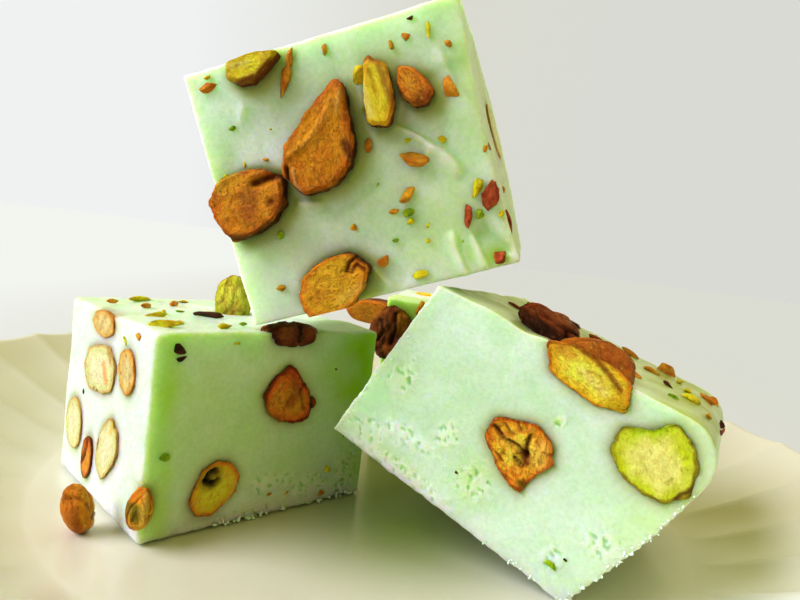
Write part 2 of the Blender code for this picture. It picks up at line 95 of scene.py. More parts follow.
PRESS_WIDTH = 0.35           # how far from a nut its block is pressed in
PRESS_SLICED = 0.05          # and how deep, where the nut was sliced with it
PRESS_WHOLE = 0.22           # and where it was not
NEAR_FACE = 2.0              # how far from its face a nut still marks its block
CONTACT_SHADE_WIDTH = 0.9              # how far from a nut its block has painted contact shade
CONTACT_SHADE_SHARE = 0.45
RAGGED = 0.055               # unevenness of a kernel's outline, as a share of its radius
CORNER = 0.08                # radians over which the corners of an outline are softened
STROKE_WOBBLE = 0.12         # how far a stroke strays from its line
GRAIN = (0.45, 1.0, 1.0)     # a kernel's wrinkles are drawn out along it
EDGE_HIGHLIGHT_HEIGHT = 0.32            # where a painted highlight runs round a whole kernel, as a share of its half thickness
EDGE_HIGHLIGHT_WIDTH = 0.09
PAINTED_SHADOW_SHIFT = (0.8, 0.0, -0.6)   # a nut's painted shadow lies this far from it, right and down a block's front, away from the window
PAINTED_SHADOW_WIDTH = 1.1
PAINTED_SHADOW_SHARE = 0.85
BRIGHTEST = 0.92             # most light that a kernel gives back
FLAT_TOP = 0.80              # where the top of a flat kernel is cut off, as a share of its half thickness

# ---------------------------------------------------------------- fineness of the meshes
CELL = 0.31                  # grid cell on a block that shows
HIDDEN_CELL = 0.5            # on one that is mostly hidden
FLUTE_STEPS = 12             # faces across each flute
CHIP_FINENESS = 3            # of a chip longer than LONG_CHIP; smaller chips and crumbs have one less
LONG_CHIP = 1.5


def colour(red, green, blue):
    """Linear colour of one given as it looks on a screen."""
    def linear(value):
        share = value / 255
        return share / 12.92 if share < 0.04 else ((share + 0.055) / 1.055) ** 2.4
    return np.array([linear(red), linear(green), linear(blue)])


@dataclass
class Look:
    """How a kernel looks: cut flesh, its edge, the skin round it, and how rough they are."""

    flesh: tuple
    edge: tuple
    skin: tuple
    crease: tuple
    slot: str = "nut_brown"
    rim: float = 0.07            # width of the dark line round a cut, as a share of the radius
    wrinkle: float = 0.10        # depth of the skin's wrinkles
    crag: float = 0.05           # depth of the roughness of a cut
    slab: float = 1.0            # under 1 flattens the top of a kernel
    wear: float = 0.6            # how much its fine cracks show
    gain: float = 1.25           # how much lighter it is than the colours above


TOASTED = Look((220, 156, 28), (190, 106, 16), (104, 40, 14), (64, 18, 10), rim=0.14, wrinkle=0.16,
               slab=0.4)
GOLDEN = Look((236, 180, 42), (208, 132, 22), (120, 50, 16), (78, 24, 10), rim=0.14, wrinkle=0.16, slab=0.4)
RUST = Look((240, 150, 44), (222, 106, 32), (112, 44, 18), (70, 22, 12), rim=0.08, crag=0.14, wear=0.5,
            gain=1.5)
WALNUT = Look((250, 188, 66), (236, 154, 40), (164, 92, 28), (112, 40, 14), rim=0.06, crag=0.24, wear=0.7,
              gain=1.5)
LIME = Look((240, 237, 146), (208, 222, 40), (140, 124, 34), (176, 178, 44), "nut_green", rim=0.03,
            crag=0.1, wear=0.1, gain=1.1)
GOLD = Look((240, 222, 84), (222, 190, 40), (206, 130, 36), (110, 46, 14), "nut_green", rim=0.04,
            wrinkle=0.22, crag=0.1, wear=0.35)
OLIVE = Look((252, 196, 48), (232, 152, 24), (118, 54, 20), (76, 26, 12), "nut_green", rim=0.1,
             wrinkle=0.12, slab=0.55, wear=0.1, gain=1.45)
BRIGHT = Look((232, 216, 36), (196, 172, 16), (156, 80, 24), (90, 40, 12), "nut_green", rim=0.1,
              wrinkle=0.12, slab=0.55, wear=0.3)
CREAM = Look((238, 238, 196), (222, 226, 156), (222, 184, 112), (210, 180, 104), "nut_pale", rim=0.04,
             crag=0.07, wear=0.05, gain=1.1)
PEACH = Look((252, 228, 164), (246, 206, 112), (234, 166, 70), (200, 112, 40), "nut_pale", rim=0.06,
             crag=0.14, wear=0.25, gain=1.05)
TAN = Look((252, 188, 52), (246, 160, 30), (176, 112, 30), (96, 52, 20), "nut_pale", rim=0.08, crag=0.08,
           wear=0.1, gain=1.65)
MAROON = Look((166, 96, 38), (130, 62, 24), (110, 48, 20), (44, 14, 8), "nut_dark", rim=0.1, wrinkle=0.42,
              slab=0.85, wear=1, gain=0.95)
AMBER = Look((234, 158, 42), (200, 116, 26), (140, 60, 18), (86, 30, 12), rim=0.1, wrinkle=0.16, slab=0.55)
ROUND = Look((246, 190, 56), (234, 156, 36), (230, 154, 40), (150, 74, 18), rim=0.1, wrinkle=0.18,
             slab=0.95)
HALF = Look((222, 216, 84), (190, 190, 44), (214, 156, 110), (150, 100, 60), "nut_green", rim=0.1,
            wrinkle=0.12)
YELLOW = (250, 238, 140)
RED_BROWN = (96, 26, 14)
BLACK = (40, 20, 12)


@dataclass
class Block:
    """A sliced block. Local X runs along its front, Y goes into it and Z up it, from its lower left."""

    name: str
    place: tuple
    yaw: float
    size: tuple
    pitch: float = 0.0
    tilt: float = 0.0
    poured: str = "top"
    lean: tuple = (0.0, 0.0)
    swell: float = 0.0
    belly: tuple = (0.0, 0.0)    # bulge of its right side, at the front and at the back
    skew: float = 0.0
    shoulder: float = 0.0
    seed: float = 0.0
    edge: float = 0.45           # radius of its cut edges
    cell: float = CELL
    crumb: float = 0.05          # roughness of its cut faces

    def matrix(self):
        turn = (Matrix.Rotation(math.radians(self.yaw), 4, "Z")
                @ Matrix.Rotation(math.radians(self.pitch), 4, "X")
                @ Matrix.Rotation(math.radians(self.tilt), 4, "Y"))
        return Matrix.Translation(Vector(self.place) * MM) @ turn

    def warp(self, points):
        """Move points of the true box to their place in the uneven block."""
        across, deep, up = (points / np.array(self.size)).T
        shift = up * (self.lean[0] * (1 - across) + self.lean[1] * across) + self.skew * deep
        belly = self.belly[0] * (1 - deep) + self.belly[1] * deep
        moved = points.copy()
        moved[:, 0] += shift + belly * np.sin(math.pi * up) * np.clip(across, 0, None) ** 4
        moved[:, 2] += self.swell * across * up
        return moved

    def settle(self, points):
        """Lift points that would sink into the dish."""
        placed = carry(self.matrix(), points)
        placed[:, 2] = np.maximum(placed[:, 2], FLOOR)
        return carry(self.matrix().inverted(), placed)

    def over_shoulder(self, spot):
        """Carry a spot on the top round the shoulder, and return the angle that it has turned by."""
        start = self.size[0] - self.shoulder
        if not self.shoulder or spot.x <= start:
            return 0.0
        angle = (spot.x - start) / self.shoulder
        spot.x = start + self.shoulder * math.sin(angle)
        spot.z -= self.shoulder * (1 - math.cos(angle))
        return angle


@dataclass
class Stroke:
    """A line through spots of a nut's face, or a spot, in a colour of its own and pressed in.

    The spots are a flat row of places, each u across and v up that face.
    """

    spots: tuple
    width: float
    shade: tuple
    sink: float = 0.0
    share: float = 0.9


@dataclass
class Nut:
    """A kernel on one face of its block, at u across and v up that face."""

    name: str
    face: str
    u: float
    v: float
    length: float
    width: float
    thick: float
    look: Look
    turn: float = 0.0
    lift: float = 0.0
    taper: float = 0.0
    sliced: bool = False         # cut with its block, flush with the face
    trim: tuple = ()             # other faces that it is cut flush with
    stands: bool = False         # its length axis points out of the face
    slot: str = ""               # in place of the slot of its look
    outline: tuple = ()          # radii in equal steps from its length axis, in place of the oval
    slant: tuple = (0.0, 0.0)    # shift of its buried end, along and across
    fine: int = 4


@dataclass
class Chip:
    """A crumb of nut on one face of its block."""

    face: str
    u: float
    v: float
    length: float
    width: float
    turn: float = 0.0
    kind: str = "orange"
    lift: float = 0.0


@dataclass
class Patch:
    """A crumbly patch on a cut face, pale with crumbs and with painted shade in its pits."""

    face: str
    u: float
    v: float
    wide: float
    tall: float
    depth: float


@dataclass
class Tint:
    """A soft patch of a block's face where shade or light is painted, by its mark: green painted shade and
    glow, olive or dark painted shade, or pale painted light, which along one block's foot stands for pale
    crumb instead.
    """

    face: str
    u: float
    v: float
    wide: float
    tall: float
    share: float
    mark: str = "green"


@dataclass
class Fold:
    """A crease between two spots of a poured face, raised if its height is over 0; a raised one gets a
    painted highlight along its crest.
    """

    start: tuple
    end: tuple
    height: float
    width: float
    bend: float = 0.0


@dataclass
class Piece:
    """A block with all that shows on it."""

    block: Block
    nuts: list = field(default_factory=list)
    chips: list = field(default_factory=list)
    patches: list = field(default_factory=list)
    folds: list = field(default_factory=list)
    tints: list = field(default_factory=list)


def on(face, kind, *rows):
    """Chips, patches or tints of one face, from rows of their values."""
    return [kind(face, *row) for row in rows]


# Each face of a block: the axis it stands on, the side of the block, its across axis and its up axis
FACES = {
    "front": (1, -1, 0, 2),
    "back": (1, 1, 0, 2),
    "left": (0, -1, 1, 2),
    "right": (0, 1, 1, 2),
    "top": (2, 1, 0, 1),
    "bottom": (2, -1, 0, 1),
}

# ---------------------------------------------------------------- the pile
LEFT = Piece(
    Block("fudge_left", (-25.1, -30.4, FLOOR), 45.1, (33.9, 28.5, 25.4), seed=1, edge=0.8),
    nuts=[
        Nut("nut_left_drop", "front", 19.2, 15.9, 9.2, 8.6, 6, RUST, 97, sliced=True, fine=5,
            outline=(4.9, 4.2, 4.5, 3.8, 3.3, 3.4, 4.3, 4.5, 2.9, 3)),
        Nut("nut_left_heart", "front", 9.1, 5.5, 7.6, 6.6, 6, TAN, 55, sliced=True, fine=5,
            outline=(3.6, 3.4, 3, 2.6, 3.4, 3.9, 3.6, 2.8, 3.3, 3.6)),
        Nut("nut_left_corner", "front", 0.2, 4.6, 4.9, 2.7, 3.6, ROUND, 80, lift=-0.3, fine=5),
        Nut("nut_left_rim", "top", 19, 1.7, 8.6, 5.2, 3.2, MAROON, lift=-1, trim=("front",), fine=5),
        Nut("nut_left_standing", "top", 17.6, 14.8, 7.6, 5.4, 3.2, HALF, 50, lift=1.4, stands=True, fine=5),
        Nut("nut_left_oval", "left", 15.8, 17.4, 11.4, 6.2, 6, CREAM, -13, sliced=True, fine=5,
            outline=(5.5, 4.4, 3.2, 3.4, 5, 5.6, 4.5, 3.1, 3.1, 4.7)),
        Nut("nut_left_round", "left", 6.9, 19, 5.6, 4.8, 4.4, PEACH, 80, sliced=True),
        Nut("nut_left_almond", "left", 11.1, 8.1, 9, 6.2, 5, CREAM, 100, sliced=True, fine=5,
            outline=(4.4, 3.1, 2.8, 3.2, 4.2, 4.5, 2.8, 2.7, 3.5, 4.2)),
        Nut("nut_left_far", "left", 23.6, 7.8, 7.2, 6, 5, CREAM, 85, sliced=True),
        Nut("nut_left_small", "left", 17.6, 4.8, 6, 3.6, 3.6, AMBER, 100, sliced=True),
        Nut("nut_left_brim", "left", 15.6, 23.3, 7.4, 3.4, 4, PEACH, sliced=True, trim=("top",),
            slot="nut_brown"),
        Nut("nut_left_inner", "right", 15, 11, 9, 6.4, 5, CREAM, 30, sliced=True),
        Nut("nut_left_behind", "back", 12, 9, 10, 7, 6, LIME, -25, sliced=True),
        Nut("nut_left_back", "back", 25, 17, 8.4, 6.2, 6, RUST, 60, sliced=True),
    ],
    chips=[
        *on("top", Chip, (7.8, 24.6, 3.4, 1.4, 20, "yellow"), (2.6, 3.4, 4, 1.6, -35, "yellow"),
            (4.4, 10, 2.8, 1.4, -20, "yellow"), (11.5, 20.5, 1.9, 1.3, 40),
            (12.4, 10.4, 5, 1.3, -42, "dark"), (9.8, 2.6, 2.2, 1.2, 10, "yellow"), (27, 22, 2.4, 1.5, 60)),
        *on("front", Chip, (2.9, 23.2, 2, 1.2, -30, "dark"), (2.6, 10.5, 1.5, 1.2, 0, "green"),
            (27, 4.7, 1.6, 1.2, 60, "yellow"), (26.4, 1.6, 1.6, 1.1), (3.4, 22, 1.3, 0.7, 20, "dark"),
            (10.4, 23.6, 1, 0.5, 0, "yellow"), (20.2, 2.5, 0.9, 0.6, 30), (17.6, 2.9, 0.7, 0.5),
            (29.4, 9.6, 0.8, 0.3, 70, "dark"), (26.4, 19.6, 0.5, 0.4, 0, "dark")),
        *on("top", Chip, (6.2, 18.4, 2.2, 0.9, 30), (7, 14, 1.6, 0.7, 70, "yellow"),
            (13.6, 4.4, 1.4, 0.6, 0, "green"), (5.4, 5.6, 1.8, 0.8, 60, "yellow"),
            (9.4, 14.2, 1.2, 0.5, -30, "green"), (3.2, 22.4, 1.6, 0.8, 10),
            (14.4, 24.2, 1.8, 0.7, 0, "gold")),
        *on("left", Chip, (4.6, 23.6, 1.8, 0.9, 20, "gold"), (21, 13, 1.2, 0.5, 80, "dark"),
            (8.6, 22.4, 1.5, 0.7, 40, "yellow")),
    ],
    patches=[
        *on("front", Patch, (17.5, 4.6, 4.5, 1.5, 0.34), (24, 3, 3.5, 2.2, 0.2), (30.5, 3.5, 3, 4.5, 0.4),
            (14, 0.8, 7, 0.9, 0.34)),
        *on("right", Patch, (6, 5, 6, 4, 0.3)),
        *on("back", Patch, (20, 8, 6, 5, 0.25)),
    ],
    # painted green shade over the front and right faces, a painted green glow along the front's lit left
    # edge, painted light over the left face, and pale crumb along the front's foot
    tints=[
        *on("front", Tint, (17, 16, 60, 16, 0.32), (33, 19, 9, 12, 0.9), (34, 6, 5, 7, 0.6),
            (2.2, 16, 2, 60, 0.55), (14, 1, 16, 4, 0.7, "pale")),
        *on("right", Tint, (8, 12, 10, 14, 0.4)),
        *on("left", Tint, (14, 12, 60, 60, 0.25, "pale")),
    ],
)

RIGHT = Piece(
    Block("fudge_right", (-5.5, -19.4, 19.7), -21, (34.2, 32.7, 24), tilt=23.1, lean=(2.8, 5.2), swell=2.8,
          belly=(0.9, 0.9), skew=5, shoulder=5.8, seed=2, edge=0.3),
    nuts=[
        Nut("nut_right_cracked", "front", 18.9, 11.4, 9.4, 8.2, 6.5, WALNUT, -60, sliced=True, fine=5,
            outline=(5.1, 3.4, 4.1, 4.1, 3.9, 3.5, 4.6, 4.3, 3.1, 3.5)),
        Nut("nut_right_green", "front", 29.3, 18.2, 9.8, 8.9, 6.5, LIME, -50, sliced=True, fine=5,
            outline=(4.7, 4.9, 4.1, 4.3, 4.7, 3.2, 4.9, 4.7, 4, 3.8)),
        Nut("nut_right_rim", "front", 19.2, 22.3, 11.2, 5, 7, GOLD, -10, sliced=True, fine=5,
            slant=(0.5, 3.8), outline=(5.4, 4.4, 2.9, 2.4, 3.6, 6.2, 4.2, 2.4, 2.2, 3.2)),
        Nut("nut_right_top", "top", 11.6, 5.4, 8.4, 5, 3.8, MAROON, -4, lift=0.6, fine=5),
        Nut("nut_right_end", "right", 17, 10, 9.4, 6.6, 5.6, CREAM, 35, sliced=True),
        Nut("nut_right_behind", "back", 11, 10, 10, 6.8, 6, RUST, 20, sliced=True),
        Nut("nut_right_back", "back", 25, 14, 9, 7.2, 6, LIME, -50, sliced=True),
        Nut("nut_right_inner", "left", 20, 12, 8.6, 6, 5, TAN, 60, sliced=True),
    ],
    chips=[
        *on("top", Chip, (23, 29.4, 3.4, 2.4, 10), (4.4, 24, 2.6, 1.5, 30, "dark"),
            (9.6, 28.6, 2.6, 1.4, 20, "dark"), (31, 27.6, 2.6, 1.8, -20, "orange", -0.4),
            (15.5, 20, 2.4, 1.5, 70, "yellow"), (28, 12, 2.2, 1.3, 15, "yellow")),
        *on("front", Chip, (30, 2.8, 1.8, 1.2, -30, "green")),
        *on("top", Chip, (34.6, 24, 2.8, 1.8, 60, "orange", -0.5)),
        *on("front", Chip, (30.6, 4.2, 0.6, 0.4, 20, "dark"), (15.5, 5.1, 0.6, 0.4, 0, "dark")),
        *on("top", Chip, (4.4, 15, 3, 0.8, 12, "rust"), (6.4, 19, 3.2, 0.9, 18, "dark"),
            (8.2, 9.4, 2.6, 0.9, -10, "gold"), (14, 24, 3, 1.1, 8, "rust"), (13, 14, 1.8, 1, 40, "yellow"),
            (18, 28, 3.2, 1.2), (22, 22, 2.4, 1, 20, "gold"), (25.6, 26, 2.2, 0.9, 80, "yellow"),
            (25, 14.6, 2, 0.8, -20, "dark"), (27, 18.6, 1.6, 0.9, 40, "yellow"), (29.4, 22.2, 2.2, 1),
            (30.4, 9.2, 1.8, 0.7, 60, "gold"), (33.4, 14.2, 2, 0.9, 75, "rust"),
            (33.2, 18.6, 1.6, 0.8, 20, "dark"), (26.2, 7, 1.6, 0.7, 0, "green"), (21.6, 9.2, 2, 0.8, -30)),
    ],
    patches=[
        *on("front", Patch, (4.6, 11, 2.2, 2.6, 0.34), (4, 2.8, 4, 2.2, 0.26), (13.2, 8.6, 1.6, 1.8, 0.36),
            (18.6, 5.6, 2.6, 2.6, 0.34), (34, 8.6, 3.6, 2.2, 0.22), (30.6, 3.8, 1.6, 1.8, 0.26),
            (10, 1, 9, 1.4, 0.18), (23, 17.9, 0.8, 0.9, 0.26), (9.4, 5.4, 5, 1.4, 0.22)),
        *on("back", Patch, (20, 8, 6, 5, 0.3)),
        *on("left", Patch, (16, 16, 7, 5, 0.25)),
        *on("right", Patch, (10, 12, 6, 5, 0.25)),
    ],
    # painted olive shade on the top; painted green shade and painted dark shade on the front
    tints=[
        *on("top", Tint, (17, 16, 60, 60, 0.55, "stain"), (34, 16, 9, 60, 0.85, "stain")),
        *on("front", Tint, (18.4, 6, 2, 3.2, 0.3), (36, 16, 3, 12, 0.3), (17, 12, 60, 60, 0.22, "pit"),
            (2, 8, 6, 9, 0.5, "pit"), (13.2, 9, 1.4, 1.8, 0.22), (9.4, 2, 5, 1.2, 0.25),
            (22.9, 17.6, 0.5, 0.5, 0.5), (4.6, 11, 1.6, 2, 0.2)),
    ],
)

TOP = Piece(
    Block("fudge_top", (-16.7, -20.7, FLOOR + 25.4), -4.3, (34.2, 23.7, 31.7), pitch=4.3, tilt=-21.3,
          poured="front", belly=(-0.8, 0.5), skew=2.4, seed=3, edge=0.35),
    nuts=[
        Nut("nut_top_drop", "front", 14.6, 19.2, 14.6, 8.6, 4.6, TOASTED, 58, lift=0.5, fine=6,
            outline=(8.3, 4.2, 3.3, 4.2, 5.7, 6.2, 4.9, 4.3, 4.1, 4.5)),
        Nut("nut_top_left", "front", 4.1, 15, 10.6, 8.2, 4.6, TOASTED, 20, lift=0.3, fine=6,
            outline=(5.5, 4.3, 3.8, 4.2, 4.7, 4.5, 5.1, 3.8, 3.9, 4.5)),
        Nut("nut_top_foot", "front", 11.6, 3, 10.6, 6.6, 4.6, GOLDEN, 12, lift=0.3, trim=("bottom",),
            fine=6, outline=(5.2, 4.4, 3.3, 3.1, 3.7, 4.6, 5.4, 3.9, 3.6, 3.9)),
        Nut("nut_top_slice", "front", 22.7, 23.1, 8.5, 4.4, 3.8, OLIVE, 95, lift=0.7, fine=6,
            outline=(4.5, 2, 1.6, 2, 3.8, 4, 2.4, 1.8, 2, 3.4)),
        Nut("nut_top_round", "front", 27, 22.9, 5.7, 3.8, 3.6, AMBER, 115, lift=0.3, fine=5,
            outline=(2.8, 2, 1.8, 1.8, 2.4, 2.6, 2.5, 1.7, 1.5, 2)),
        Nut("nut_top_brow", "front", 8.7, 30, 7.4, 3.5, 3.4, BRIGHT, 12, lift=0.4, trim=("top",), fine=5,
            outline=(4.2, 1.9, 1.4, 1.5, 2.9, 3.1, 2.3, 1.8, 1.6, 2)),
        Nut("nut_top_crown", "top", 21, 12.5, 9.4, 6.6, 5.6, CREAM, 35, sliced=True),
        Nut("nut_top_side", "left", 13, 13, 8.6, 6, 5.4, CREAM, 70, sliced=True),
        Nut("nut_top_end", "right", 14, 17, 8.2, 6.2, 5.2, CREAM, -40, sliced=True, slot="nut_green"),
        Nut("nut_top_behind", "back", 11, 10, 10.4, 7, 6, RUST, -30, sliced=True),
        Nut("nut_top_back", "back", 23, 21, 9.2, 6.8, 6, CREAM, 50, sliced=True),
    ],
    chips=[
        *on("front", Chip, (12.1, 27.7, 4, 1.6, 66), (24.8, 14.8, 4.4, 1.8, -18),
            (32.7, 8.5, 4.2, 2.4, 70, "rust"), (29.8, 7, 2.9, 1.5, 78, "rust"), (31.4, 21.7, 3, 1.6, 80),
            (2.9, 29.6, 2, 1.4, 10), (19.9, 18, 1.9, 1, 70), (22.9, 11.2, 2.4, 1.4, 25, "gold"),
            (22.6, 9.2, 1.7, 1.2, -40, "green"), (18, 4.2, 1.8, 1.3, 40), (22.4, 1.6, 2.4, 1, 5, "yellow"),
            (32, 1.5, 2, 1.4, 70, "rust"), (4.9, 3.9, 1.3, 1, 0, "gold"), (27.4, 28.6, 1.4, 0.9, -60),
            (13.5, 30.2, 2.4, 0.9, 66), (21, 25.7, 2.1, 1.6, 50, "yellow", 0.8),
            (31.6, 9.8, 2.2, 1.3, 60, "yellow"), (31.2, 6.9, 1.6, 1, 70, "green"),
            (33.7, 6.2, 1.2, 0.8, 40, "yellow"), (33.9, 14.1, 1, 0.6, 60, "gold"),
            (28.8, 16.3, 1.5, 0.9, -10, "yellow"), (32.1, 26.5, 1.1, 0.8, -20),
            (28.2, 30.4, 1.1, 0.5, 10, "dark"), (30, 28.6, 1.8, 0.7, 80, "yellow"),
            (17.7, 29.9, 1.3, 1, 80, "gold"), (25.4, 28.1, 1.2, 0.8, 80, "gold"),
            (3.2, 30.6, 1.1, 0.5, 0, "yellow"), (4.3, 24.2, 0.9, 0.7, 0, "green"),
            (6.6, 10.5, 1.3, 0.9, 70, "green"), (24.7, 17.3, 1, 0.6, 0, "yellow"),
            (20.9, 9.6, 1.2, 0.7, 0, "gold"), (15.8, 9, 1, 0.8, 0, "gold"),
            (20.3, 6.2, 0.8, 0.7, 0, "green"), (22.8, 8, 1.3, 0.9, 0, "yellow"),
            (24.6, 7, 0.8, 0.5, 40, "yellow"), (10.9, 12.8, 0.5, 0.4, 0, "green"),
            (27.1, 15.5, 0.6, 0.4, 0, "yellow"), (19.9, 13.2, 0.5, 0.3, 60, "green"),
            (2, 18.9, 1.1, 0.6, 10, "yellow"), (4.6, 19.5, 1.2, 0.4, 80, "yellow"),
            (7.4, 19.4, 0.9, 0.5, -20, "gold"), (18.5, 25.6, 0.7, 0.5, 0, "green"),
            (28.8, 13.8, 0.9, 0.8, 30), (24.2, 5.2, 0.7, 0.6, 0, "yellow"),
            (8.9, 22.8, 0.4, 0.4, 0, "yellow"), (28.2, 4.2, 0.5, 0.4, 0, "green"),
            (20.4, 22, 1, 0.4, 80, "green")),
        *on("right", Chip, (2.6, 14.4, 1.3, 0.9, 60), (2.2, 5, 3.2, 1.1, 84, "rust"),
            (7, 9, 1.4, 0.7, 30, "gold")),
    ],
    patches=[
        *on("right", Patch, (12, 14, 5, 6, 0.25)),
        *on("top", Patch, (17, 8, 8, 4, 0.25)),
        *on("left", Patch, (12, 20, 4, 6, 0.25)),
        *on("back", Patch, (17, 15, 8, 6, 0.25)),
    ],
    # painted green shade on the front, and painted light low on its left
    tints=on("front", Tint, (31.6, 1.6, 2, 1.8, 0.7), (28.4, 2.4, 0.8, 1.6, 0.6), (28, 7, 7, 9, 0.32),
        (5, 5, 7, 9, 0.5, "pale"), (20, 20, 3, 6, 0.2), (26, 28, 10, 4, 0.2), (33, 20, 2.6, 12, 0.3)),
    folds=[Fold(*row) for row in (
        ((23.7, 19.2), (27.4, 15.4), 0.55, 0.4, 0.3), ((26.8, 16.2), (29.7, 12.2), 0.75, 0.75, 0.4),
        ((9.6, 13.6), (12.6, 12.8), 0.55, 0.5), ((11.4, 13.4), (14.2, 11.2), -0.3, 1),
        ((27.2, 5.4), (27.7, 0.2), 0.6, 0.45, -0.3), ((29.4, 4.6), (30.2, 0.4), 0.55, 0.4),
        ((30.6, 5.6), (33.4, 1.4), -0.7, 1.3), ((16.8, 3.6), (18.4, 1), 0.4, 0.45),
        ((18.6, 3.2), (20.4, 1.2), -0.25, 0.9), ((24.6, 20), (33, 24.4), -0.3, 1.3, 1),
        ((30.6, 26.6), (33.2, 18.4), 0.3, 0.8, -0.6), ((6.6, 26.4), (5.6, 24.4), 0.25, 0.4),
        ((15, 10), (22, 12.4), 0.2, 1.2, 0.8)
    )],
)

BACK = Piece(
    Block("fudge_back", (-1.3, 13.9, FLOOR), -8, (28, 24, 29), seed=4, edge=0.7, cell=HIDDEN_CELL),
    nuts=[
        Nut("nut_back_dark", "front", 1.7, 22.4, 9.6, 7.6, 4.8, MAROON, 80, lift=0.8, fine=5),
        Nut("nut_back_gold", "left", 4.9, 25.2, 10.6, 4.8, 4.4, AMBER, 10, lift=2.8, stands=True),
        Nut("nut_back_crown", "top", 15.5, 14, 10.2, 7, 4.8, TOASTED, 25, lift=-1.4),
        Nut("nut_back_peak", "top", 6, 18, 7.8, 5.6, 4.4, OLIVE, -50, lift=-1.9),
        Nut("nut_back_end", "right", 12, 16, 8.8, 6.4, 5.4, CREAM, 30, sliced=True),
        Nut("nut_back_behind", "back", 9, 11, 9.6, 7, 5.8, LIME, 55, sliced=True),
        Nut("nut_back_back", "back", 19.5, 20, 8.4, 6, 5.4, RUST, -15, sliced=True),
        Nut("nut_back_side", "left", 15, 10, 9, 6.2, 5.4, CREAM, -30, sliced=True),
    ],
    chips=[
        *on("front", Chip, (6.4, 27.4, 2.4, 1.5, 75)),
        *on("top", Chip, (22, 6, 2.8, 1.6, 30, "yellow"), (11, 6.5, 2.6, 1.5, -30)),
        *on("back", Chip, (14, 5, 2.2, 1.4, 10, "green")),
    ],
    patches=[
        *on("back", Patch, (14, 14, 7, 6, 0.25)),
        *on("right", Patch, (8, 8, 5, 4, 0.25)),
    ],
    # painted green shade: this block stands in the shade of the others
    tints=[
        *on("front", Tint, (10, 18, 30, 30, 0.85)),
        *on("left", Tint, (2, 20, 8, 14, 0.7)),
        *on("top", Tint, (2, 2, 10, 7, 0.6)),
    ],
)

PILE = (LEFT, RIGHT, TOP, BACK)

LOOSE_NUT = Nut("nut_loose", "", 0, 0, 6, 3.7, 3.5, ROUND, taper=-0.15, fine=5)
LOOSE_NUT_PLACE = (-33.0, -28.4, WELL_HEIGHT + 3.2)
LOOSE_NUT_LEAN = (12.0, 74.0, 35.0)
